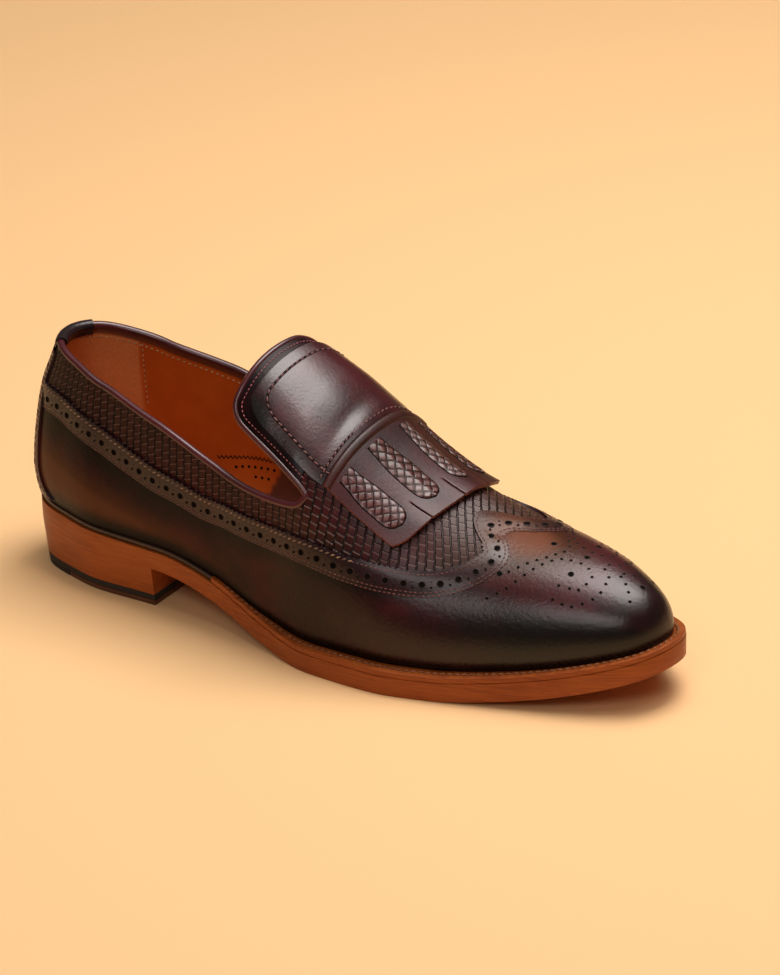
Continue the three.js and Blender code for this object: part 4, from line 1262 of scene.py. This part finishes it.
def saddle_places(rows=44, columns=70, inset=0.0):
    share = np.linspace(0, 1, rows)[:, None]
    cut = np.linspace(-1, 1, columns)[None]
    spread = tongue_spread(mix(TONGUE_TOP, SADDLE_END, share) / SOLE_LENGTH) - 0.05 - inset / 85
    rounding = np.clip(1 - share * 30 / SADDLE_CORNER, 0, 1)
    spread = spread - 0.06 * (1 - np.sqrt(1 - rounding**2))
    across = cut * spread
    back = tongue_top(across) + SADDLE_BACK + inset
    x = mix(back, fold_place(across) - 2.0, share)
    return angle_at(x), across


def saddle_lift(angle, across):
    """The saddle lies flat but for a soft trough and a ridge just behind the fold."""
    behind = fold_place(across) - place_of(angle)
    near = np.exp(-((across + 0.18) / 0.13) ** 2)
    trough = np.exp(-((behind - 10 - across * 14) / 3.2) ** 2) * near
    ridge = np.exp(-((behind - 4.5) / 2.6) ** 2) * np.exp(-((across + 0.1) / 0.2) ** 2)
    return SADDLE_LIFT - 0.45 * trough + 0.25 * ridge


saddle_angle, saddle_across = saddle_places()
x = place_of(saddle_angle)
edge = smooth_step(0.28, 0.38, np.abs(saddle_across)) * 0.6 + (1 - smooth_step(0, 8, x - 127)) * 0.45
# The tan toward the saddle's inner side is a painted reflection.
saddle = overlay("saddle_leather", saddle_angle, saddle_across, saddle_lift(saddle_angle, saddle_across),
                 burnish=0.02 + edge + smooth_step(152, 163, x) * 0.25,
                 warm=smooth_step(0.02, 0.32, saddle_across) * 0.85)
kept(saddle, "saddle", slot="saddle", materials=[saddle_leather])


def border_of(angle, across):
    """The two sides and the top edge of rows that run from the top to the fold."""
    return (
        np.concatenate([angle[::-1, 0], angle[0, 1:-1], angle[:, -1]]),
        np.concatenate([across[::-1, 0], across[0, 1:-1], across[:, -1]]),
    )


inner_border = border_of(*saddle_places(inset=4.5))
fold_across = np.linspace(-0.33, 0.33, 60) + KILTIE_AXIS
fold_row = (angle_at(fold_place(fold_across) - 3.6), fold_across)
trimmed("saddle_stitches", [
    stitches("saddle_row", *inner_border, 2.5, 0.6, 0.75, SADDLE_LIFT + 0.05, 0.12),
    stitches("fold_row", *fold_row, 2.1, 0.6, 0.7, SADDLE_LIFT + 0.1, 0.2)], "saddle", dark_thread)


def channel(name, angle, across, width, lift):
    """A narrow line of painted shade, in the channel pressed by a row of stitches."""
    angle, across = spaced(angle, across, 1.2)
    offsets = np.linspace(-width / 2, width / 2, 3)
    lines = [sideways(angle, across, offset) for offset in offsets]
    angle, across = (np.array([line[k] for line in lines]) for k in (0, 1))
    return overlay(name, angle, across, lift, base=lift - 0.3)


trimmed("saddle_channels", [
    channel("saddle_channel", *inner_border, 1.1, SADDLE_LIFT + 0.06),
    channel("fold_channel", *fold_row, 1.0, SADDLE_LIFT + 0.08)], "saddle", painted_shade_line)
tongue_angle, tongue_across = tongue_places(60, 12, 24, 12)
tongue_border = spaced(*border_of(tongue_angle[:37], tongue_across[:37]), 1.0)
inward = sideways(*tongue_border, -2.3)
trimmed("tongue_stitches", [stitches("tongue_row", *inward, 1.3, 0.6, 0.5, 0.15)], "upper", pink_thread)


def kiltie_row(ahead, cut):
    hang = np.clip(ahead / KILTIE_LENGTH, 0, 1)
    half = mix(KILTIE_ROOT, KILTIE_END, hang)
    across = KILTIE_AXIS + cut * half
    x = fold_place(across) + ahead - KILTIE_CURVE * across * across * hang
    return angle_at(x), across, hang


SLITS = (-0.5, 0.0, 0.5)
WAVE_HEIGHT = 0.35
WAVE_COUNT = 9.0


def fringe_wave(cut, hang):
    """The sheet rises and falls a little from tab to tab, more toward its end."""
    return WAVE_HEIGHT * np.sin(cut * WAVE_COUNT) * hang


def make_fringe():
    """One sheet, cut into four tabs near its end."""
    cuts = [np.linspace(-1, 1, 61)]
    for slit in SLITS:
        cuts.append(slit + np.array([-0.02, -0.011, -0.005, 0.0, 0.005, 0.011, 0.02]))
    cut = np.unique(np.round(np.concatenate(cuts), 4))[None]
    ahead = np.concatenate([
        np.linspace(0.5, SLIT_START, 26), np.linspace(SLIT_START + 0.5, KILTIE_LENGTH, 24)])[:, None]
    apart = np.minimum.reduce([np.abs(cut - slit) for slit in SLITS])
    opened = smooth_step(SLIT_START, SLIT_START + 2, ahead)
    groove = (1 - smooth_step(0.004, 0.012, apart)) * opened
    nick = (1 - smooth_step(0.0, 0.02, apart)) * smooth_step(KILTIE_LENGTH - 2.5, KILTIE_LENGTH, ahead) * 1.5
    corner = np.clip((np.abs(cut) - 0.78) / 0.22, 0, 1) ** 2.5 * 2.6 * smooth_step(24, KILTIE_LENGTH, ahead)
    angle, across, hang = kiltie_row(ahead - nick - corner, cut)
    hang = np.broadcast_to(hang, across.shape)
    lift = 2.1 + KILTIE_LIFT * hang + fringe_wave(cut, hang)
    face = lift - groove * 1.2
    in_tab = np.abs((cut + 1) * 2 % 1 - 0.5) * 2
    oval = np.exp(-((ahead - KILTIE_LENGTH + 10) / 9) ** 2) * (1 - in_tab**2)
    burnish = 0.05 + 0.6 * oval + 0.25 * (1 - smooth_step(4, 16, ahead)) + 0 * cut
    fringe = overlay("fringe", angle, across, face, base=lift - TAB_THICKNESS,
                     burnish=burnish, warm=0.1 + 0.5 * smooth_step(-0.1, 0.3, across))
    return kept(fringe, "kiltie", slot="kiltie", materials=[tab_leather])


def make_fold():
    """The rounded strip from which the fringe hangs."""
    cut = np.linspace(-1, 1, 70)[None]
    ahead = np.linspace(-1.8, 1.4, 12)[:, None]
    angle, across, _ = kiltie_row(np.broadcast_to(ahead, (12, 70)), cut)
    rounding = np.clip(1 - np.abs((ahead + 0.2) / 1.8) ** 3, 0, 1) ** 0.5
    fold = overlay("fold_strip", angle, across, 1.3 + 1.6 * rounding * np.ones(cut.shape),
                   burnish=0.35, warm=0.3)
    return kept(fold, slot="kiltie", materials=[tab_leather])


make_fringe()
make_fold()

TAB_MIDDLES = (-0.75, -0.25, 0.25, 0.75)


def oval_places(middle, rows=34, columns=16):
    """A long oval on one tab, from near the fold to near its end."""
    share = np.linspace(0, 1, rows)[:, None]
    side = np.linspace(-1, 1, columns)[None]
    ahead = mix(3.0, KILTIE_LENGTH - 6.5, share)
    half = 0.14 * np.sqrt(np.clip(1 - np.clip((share - 0.78) / 0.22, 0, 1) ** 2.2, 0, 1))
    half = np.maximum(half * mix(0.72, 1.0, smooth_step(0, 0.5, share)), 1e-3)
    angle, across, hang = kiltie_row(ahead, middle + side * half)
    twist = 0.25 * (1 - side**2) * np.cos(side * 3) ** 2
    wave = fringe_wave(middle + side * half, hang)
    lift = 2.15 + KILTIE_LIFT * hang + wave + 0.6 * np.sqrt(1.02 - side**2) + twist
    pattern = np.stack(np.broadcast_arrays(ahead / 1000, side * half * 34 / 1000), axis=-1)
    return angle, across, lift, pattern


def make_ovals():
    strips, outlines = [], []
    for number, middle in enumerate(TAB_MIDDLES):
        angle, across, lift, pattern = oval_places(middle)
        strips.append(overlay(f"braid_{number + 1}", angle, across, lift, base=1.5, pattern=pattern,
                              burnish=0.1, warm=0.1 + 0.15 * number))
        ring = [np.concatenate([values[:, 0], values[-1, 1:], values[::-1, -1][1:]])
                for values in (angle, across, lift)]
        centre = on_form(ring[0], ring[1], ring[2] - 0.25)
        normal = form_normal(ring[0], ring[1])
        along = unit(np.gradient(centre, axis=0))
        turn = np.linspace(0, 2 * np.pi, 7)
        outlines.append(laid(f"braid_edge_{number + 1}", (
            centre[:, None] + normal[:, None] * np.cos(turn)[None, :, None] * 0.3
            + np.cross(normal, along)[:, None] * np.sin(turn)[None, :, None] * 0.45)))
    kept(join("braided_strips", strips), slot="kiltie", materials=[braid_leather])
    # Black rings round the strips: painted shade where each strip meets its tab.
    kept(smooth(join("braid_outlines", outlines, weld=1e-5), 180), slot="kiltie", materials=[painted_shade_black])


make_ovals()


# Heel panel with its two upright bands
def panel_half(rise):
    return mix(50.0, 27.0, rise / COLLAR_HEIGHT) / 2


def heel_angle(across, width):
    """Angle at which the form is that wide, found by halving."""
    low, high = np.zeros(np.shape(width)), np.full(np.shape(width), float(angle_at(BACK_ROUND)))
    for _ in range(40):
        middle = (low + high) / 2
        narrow = np.abs(last_point(middle, across)[..., 1]) < width
        low, high = np.where(narrow, middle, low), np.where(narrow, high, middle)
    return (low + high) / 2


PANEL_BOTTOM = 1.5
PANEL_TOP = 63.5


def panel_places(rows, columns, inner=-1.0, outer=1.0):
    rise = np.linspace(PANEL_BOTTOM, PANEL_TOP, rows)[:, None]
    share = np.linspace(inner, outer, columns)[None]
    across = across_at(0.0, rise) * np.where(share < 0, -1, 1)
    edge_angle = heel_angle(np.broadcast_to(across, (rows, columns)),
                            np.broadcast_to(panel_half(rise), (rows, columns)))
    return np.abs(share) * edge_angle, np.broadcast_to(across, (rows, columns))


def panel_line(share):
    angle, across = panel_places(60, 2, share, share + 1e-3)
    return angle[:, 0], across[:, 0]


STRAP_LIFT = 1.1


def make_heel_panel():
    angle, across = panel_places(50, 41)
    panel = overlay("heel_strap", angle, across, 0.5, burnish=0.25, warm=0.1)
    kept(panel, "heel_panel", slot="heel_panel", materials=[saddle_leather])
    bands, rows, big, pins = [], [], [], []
    for inner, outer in ((-1.02, -0.6), (0.6, 1.02)):
        angle, across = panel_places(60, 9, inner, outer)
        bands.append(overlay("strap_band", angle, across, STRAP_LIFT, burnish=0.5, warm=0.1))
        for share in (inner + 0.05, inner + 0.11, outer - 0.11, outer - 0.05):
            rows.append(stitches("strap_row", *panel_line(share), 1.5, 0.6, 0.45, STRAP_LIFT))
        angle, across = spaced(*panel_line((inner + outer) / 2), HOLE_STEP)
        big.append(holes("strap_big", angle[1:-1], across[1:-1], STRAP_HOLE, STRAP_LIFT))
        middle = (angle[1:] + angle[:-1]) / 2, (across[1:] + across[:-1]) / 2
        for offset in (-PIN_ASIDE, PIN_ASIDE):
            pins.append(holes("strap_pin", *sideways(*middle, offset), PIN_HOLE, STRAP_LIFT))
    kept(join("strap_bands", bands), slot="heel_panel", materials=[trim_leather])
    trimmed("strap_stitches", rows, "heel_panel", red_thread)
    trimmed("strap_holes", big + pins, "heel_panel", hole_lip, painted_shade_black)


make_heel_panel()


# Bottom: blocks between a lower and an upper face, closed round the section
def block(name, stations, columns, low, high, bevel, cap=False):
    """low and high give (x, half width, z) for a side and the stations along it."""
    share = np.linspace(-1, 1, columns)
    rows = []
    for face, order in ((low, 1), (high, -1)):
        sides = {s: np.array(face(s, stations)) for s in ("outer", "inner")}
        points = []
        for value in share[::order]:
            x, width, z = sides["outer" if value < 0 else "inner"]
            ends = sides["outer"][0] * (1 - value) / 2 + sides["inner"][0] * (1 + value) / 2
            points.append(np.stack([ends, value * width, z], axis=-1))
        rows.append(np.array(points))
    ring = np.concatenate(rows + [rows[0][:1]])
    piece = join(name, [laid(name, ring)], weld=1e-5)
    if cap:
        capped(piece, bpy.ops.mesh.edge_face_add)
    return bevelled(piece, bevel, 40)


def face_at(inset, height, end=None):
    """A level of a bottom piece: places, half widths and heights, cut off straight at its end."""
    def face(side, angle):
        x, width = sole_edge(side, angle, inset(side, angle))
        if end is not None:
            x = np.where(np.arange(len(angle)) == len(angle) - 1, end, np.minimum(x, end))
        return x, width, height(x)
    return face


def level(height):
    return lambda x: height + 0 * x


def raised(line, height):
    return lambda x: line(x) + height


def tapered(share):
    """Inset of the heel, from its full taper on the floor to none at the sole."""
    return lambda side, angle: HEEL_TAPER * (1 - share)


STATIONS = np.linspace(0, np.pi, 200)
SOCK_HEIGHT = 2.8
SOCK_GAP = 0.6


def at_edge(side, angle):
    return 0.0


def inside_wall(side, angle):
    return ledge[side](foot_share(angle)) + WALL + SOCK_GAP


outsole = block("leather_outsole", STATIONS, 25, face_at(at_edge, underside),
                face_at(at_edge, sole_top), 0.35)
kept(outsole, "outsole", slot="outsole", materials=[edge_leather])
insole = block("leather_sock", STATIONS, 25, face_at(inside_wall, feather_line),
               face_at(inside_wall, raised(feather_line, SOCK_HEIGHT)), 0.5)
kept(insole, "insole", slot="insole", materials=[sock_leather])

# Share of the heel's height at which each layer of the top piece ends
FLOOR_SHARE = 0.0
INSERT_SHARE = 0.13
RUBBER_SHARE = 0.3
SEAT_SHARE = 1.0


def heel_block(name, start, low, high, shares, bevel=0.4):
    """A layer of the heel with its straight front, between two levels."""
    angles = np.linspace(foot_angle(start / SOLE_LENGTH), foot_angle(HEEL_LENGTH / SOLE_LENGTH), 60)
    faces = [face_at(tapered(share), height, HEEL_LENGTH) for share, height in zip(shares, (low, high))]
    return block(name, angles, 9, *faces, bevel, cap=True)


stack = heel_block("stacked_heel", 0.0, level(TOP_PIECE + 0.05), raised(underside, -0.02),
                   (RUBBER_SHARE, SEAT_SHARE), 0.25)
kept(stack, "heel_stack", slot="heel_stack", materials=[edge_leather])
lift_top = heel_block("rubber_layer", 0.0, level(INSERT_THICKNESS + 0.25), level(TOP_PIECE),
                      (INSERT_SHARE, RUBBER_SHARE))
back_angles = np.linspace(0, foot_angle(INSERT_START / SOLE_LENGTH), 40)
lift_back = block("rubber_back", back_angles, 9, face_at(tapered(FLOOR_SHARE), level(0.0)),
                  face_at(tapered(INSERT_SHARE), level(2.6)), 0.3, cap=True)
kept(join("rubber_top_piece", [lift_top, lift_back]), "top_piece_rubber", slot="top_piece_rubber",
     materials=[black_rubber])
insert = heel_block("leather_insert", INSERT_START + 0.3, level(0.0), level(INSERT_THICKNESS),
                    (FLOOR_SHARE, INSERT_SHARE))
kept(insert, "top_piece_leather", slot="top_piece_leather", materials=[insert_leather])


def ring_strip(name, start, end, setback, low, high, bevel):
    """A strip that follows the edge of the sole, from the outer to the inner side."""
    angles = np.linspace(start, end, 150)
    line = [("outer", a) for a in angles] + [("inner", a) for a in angles[::-1]]
    if end < np.pi:
        line = [("outer", a) for a in angles[::-1]] + [("inner", a) for a in angles]
    corners = [(low, 0), (low, 1), (high, 1), (high, 0)]
    rings = []
    for height, share in corners + corners[:1]:
        points = []
        for side, angle in line:
            grip = float(ledge[side](foot_share(angle))) + WALL + WELT_GRIP
            x, width = sole_edge(side, np.array(angle), mix(setback, grip, share))
            points.append((float(x), -float(width) if side == "outer" else float(width), float(height(x))))
        rings.append(points)
    piece = join(name, [laid(name, np.array(rings))], weld=1e-5)
    capped(piece, bpy.ops.mesh.fill)
    return bevelled(piece, bevel, 50)


start = foot_angle(WELT_START / SOLE_LENGTH)
welt = ring_strip("stitched_welt", start, np.pi, 0.25, raised(sole_top, 0.02), welt_top, 0.3)
kept(welt, "welt", slot="welt", materials=[edge_leather])
rand = ring_strip("dark_rand", 0.0, start, 0.9, raised(sole_top, 0.02), welt_top, 0.7)
kept(rand, "heel_rand", slot="heel_rand", materials=[rand_leather])


WELT_STITCH_START = 112
WELT_STITCH_STEP = 3.0
WELT_STITCH_LEAN = 0.35


def welt_stitches():
    angles = np.linspace(foot_angle(WELT_STITCH_START / SOLE_LENGTH), np.pi, 400)
    sides = []
    for side, sign in (("outer", -1), ("inner", 1)):
        inset = np.minimum(ledge[side](foot_share(angles)) * 0.62, 3.6)
        x, width = sole_edge(side, angles, inset)
        sides.append(np.stack([x, sign * width, welt_top(x)], axis=-1))
    line = np.concatenate([sides[0], sides[1][::-1]])
    length = path_length(line)
    at = np.arange(0, length[-1], WELT_STITCH_STEP)
    points = np.stack(places_at(at, length, *line.T), axis=1)
    normals = np.tile([0.0, 0.0, 1.0], (len(points), 1))
    along = unit(np.gradient(points, axis=0))
    slanted = leaning(along, normals, WELT_STITCH_LEAN)
    return copies("welt_row", stitch_shape(2.9, 1.6), points, slanted, normals)


trimmed("welt_stitches", [welt_stitches()], "welt", welt_thread)

# Medallion on the toe: a generic scroll of punched holes, alike on both sides of its axis.
# Each curl is a line of places ahead along the toe and aside from the axis.
SCROLL_STEP = 3.9
OUTER_SCROLL = ((232, 31), (238, 26), (242, 20), (247, 12), (253, 6), (261, 4.5), (267, 9), (265, 15.5),
                (257, 17.5))
INNER_SCROLL = ((236, 20.5), (242, 13.5), (247, 8), (251, 2.2))
FRONT_SCROLL = ((257, 22.5), (263, 22), (269, 18.5), (273, 12.5), (273, 6), (269, 1.8))
FAN = ((276, 1.2), (280.5, 4.5), (284.5, 9.5))
BIG_PAIRS = ((233, 22.5), (259, 11.3))
BIG_MIDDLES = ((245, 0), (260, 0), (285, 0))
SMALL_HOLE = 0.6
BIG_HOLE = 1.15


def across_of(x, y):
    """Share across at which the form has that place from its middle line."""
    spread = np.linspace(-0.93, 0.93, 401)
    return np.array([
        np.interp(side, last_point(angle_at(ahead), spread)[:, 1], spread) for ahead, side in zip(x, y)])


def medallion():
    small, big = [], list(BIG_MIDDLES)
    for scroll in (OUTER_SCROLL, INNER_SCROLL, FRONT_SCROLL, FAN):
        ahead, aside = np.array(scroll, float).T
        knots = path_length(np.stack([ahead, aside], axis=1))
        at = np.linspace(0, knots[-1], int(round(knots[-1] / SCROLL_STEP)) + 1)
        small += list(zip(smooth_line(knots, ahead)(at), smooth_line(knots, aside)(at)))
    small += [(ahead, -aside) for ahead, aside in small]
    big += [(ahead, sign * aside) for ahead, aside in BIG_PAIRS for sign in (-1, 1)]
    pieces = []
    for name, places, radius in (("small_punches", small, SMALL_HOLE), ("big_punches", big, BIG_HOLE)):
        x, y = np.array(places, float).T
        across = across_of(x, y - 0.5)
        pieces.append(holes(name, angle_at(x), across, radius, 0.03))
    return pieces


trimmed("medallion", medallion(), "upper", hole_lip, painted_shade_black)


# Inside: the seams of the lining and its row of perforations
SEAM_LIFT = -WALL - 0.2
PERFORATION_STEP = 3.3
ZIGZAG_STEP = 1.1
ZIGZAG_HEIGHT = 0.7


def inside_line(sign, x, across):
    return angle_at(np.asarray(x, float)), sign * np.asarray(across, float)


def lining_seams():
    rows = []
    for sign in (-1, 1):
        rim = float(collar_across(GRIP_END + 1))
        seam = np.linspace(rim + 0.03, 0.82, 40)
        rows.append(stitches("grip_row", *inside_line(sign, np.full(40, GRIP_END + 1), seam),
                             1.6, 1.0, 0.8, SEAM_LIFT))
        x = np.linspace(3, 146, 160)
        below_rim = collar_across(x) + BINDING + 0.008
        rows.append(stitches("top_row", *inside_line(sign, x, below_rim), 1.5, 1.1, 0.8, SEAM_LIFT))
    return rows


def lining_holes():
    pieces = []
    for start, end, low, high in ((71.5, 92.0, 8.0, 13.6), (82.0, 90.5, 6.4, 8.6)):
        x = np.arange(start, end, PERFORATION_STEP)
        across = across_at(x, np.interp(x, (start, end), (low, high)))
        pieces.append(holes("lining_pin", *inside_line(1, x, across), 0.55, -WALL - 0.12, inside=True))
    return pieces


def lining_zigzag():
    """The pinked upper edge of the lower lining, as a thin line of painted shade."""
    x = np.arange(62.0, 92.0, ZIGZAG_STEP)
    teeth = np.where(np.arange(len(x)) % 2 == 0, ZIGZAG_HEIGHT, -ZIGZAG_HEIGHT)
    rise = np.interp(x, (62, 92), (10.3, 17.5)) + teeth
    offsets = np.array([-0.25, 0.25])[:, None]
    angle, across = inside_line(1, np.broadcast_to(x, (2, len(x))), across_at(x, rise + offsets))
    return overlay("lining_edge", angle, across, -WALL - 0.25, base=-WALL + 0.2)


trimmed("lining_edge_line", [lining_zigzag()], "insole", painted_shade_line)
trimmed("lining_stitches", lining_seams(), "insole", tan_thread)
# The perforations are discs of painted shade.
trimmed("lining_perforation", lining_holes(), "insole", painted_shade_black, painted_shade_black)

# Stage: pale floor, soft light, and the camera at the photograph's angle
bpy.ops.object.select_all(action="DESELECT")
bpy.ops.mesh.primitive_plane_add(size=14, location=(0, 0, 0))
floor = bpy.context.object
floor.name = floor.data.name = "floor"
PEACH = (0.92, 0.57, 0.28)
floor.data.materials.append(Tree("pale peach floor").done(PEACH, 0.8))


def lamp(name, place, aim, size, watts, color):
    light = bpy.data.lights.new(name, "AREA")
    light.shape = "RECTANGLE"
    light.size, light.size_y = size
    light.energy = watts
    light.color = color
    body = placed(name, light)
    body.location = place
    body.rotation_euler = (Vector(aim) - Vector(place)).to_track_quat("-Z", "Y").to_euler()


lamp("overhead_softbox", (0.14, 0.36, 1.25), (0.08, 0.08, 0.04), (0.6, 0.85), 13, (1, 0.97, 0.93))
lamp("ceiling_fill", (0.35, 0.5, 2.4), (0.1, 0.2, 0), (2.6, 2.6), 32, (1, 0.96, 0.9))
lamp("front_fill", (0.45, -1.6, 1.5), (0.06, 0, 0.04), (0.9, 0.7), 8, (1, 0.97, 0.94))
world = bpy.data.worlds.new("studio")
bpy.context.scene.world = world
world.use_nodes = True
world.node_tree.nodes["Background"].inputs[0].default_value = (1.0, 0.82, 0.6, 1)
world.node_tree.nodes["Background"].inputs[1].default_value = 0.1
bpy.context.scene.view_settings.view_transform = "Standard"

CAMERA_TARGET = (159.64, 14.05, 54.53)
CAMERA_TURN = math.radians(32.15)
CAMERA_HEIGHT = math.radians(24.89)
CAMERA_ROLL = math.radians(-1.46)
CAMERA_DISTANCE = 1.81837
CAMERA_LENS = 164.3
back = Vector((
    math.sin(CAMERA_TURN) * math.cos(CAMERA_HEIGHT),
    -math.cos(CAMERA_TURN) * math.cos(CAMERA_HEIGHT),
    math.sin(CAMERA_HEIGHT),
))
right = (-back).cross(Vector((0, 0, 1))).normalized()
up = right.cross(-back)
rolled_right = right * math.cos(CAMERA_ROLL) + up * math.sin(CAMERA_ROLL)
rolled_up = up * math.cos(CAMERA_ROLL) - right * math.sin(CAMERA_ROLL)
camera_data = bpy.data.cameras.new("camera")
camera_data.sensor_fit = "VERTICAL"
camera_data.sensor_height = 36
camera_data.lens = CAMERA_LENS
camera = placed("camera", camera_data)
turned = Matrix((rolled_right, rolled_up, back)).transposed().to_4x4()
turned.translation = Vector(in_row(CAMERA_TARGET)) + back * CAMERA_DISTANCE
camera.matrix_world = turned
bpy.context.scene.camera = camera
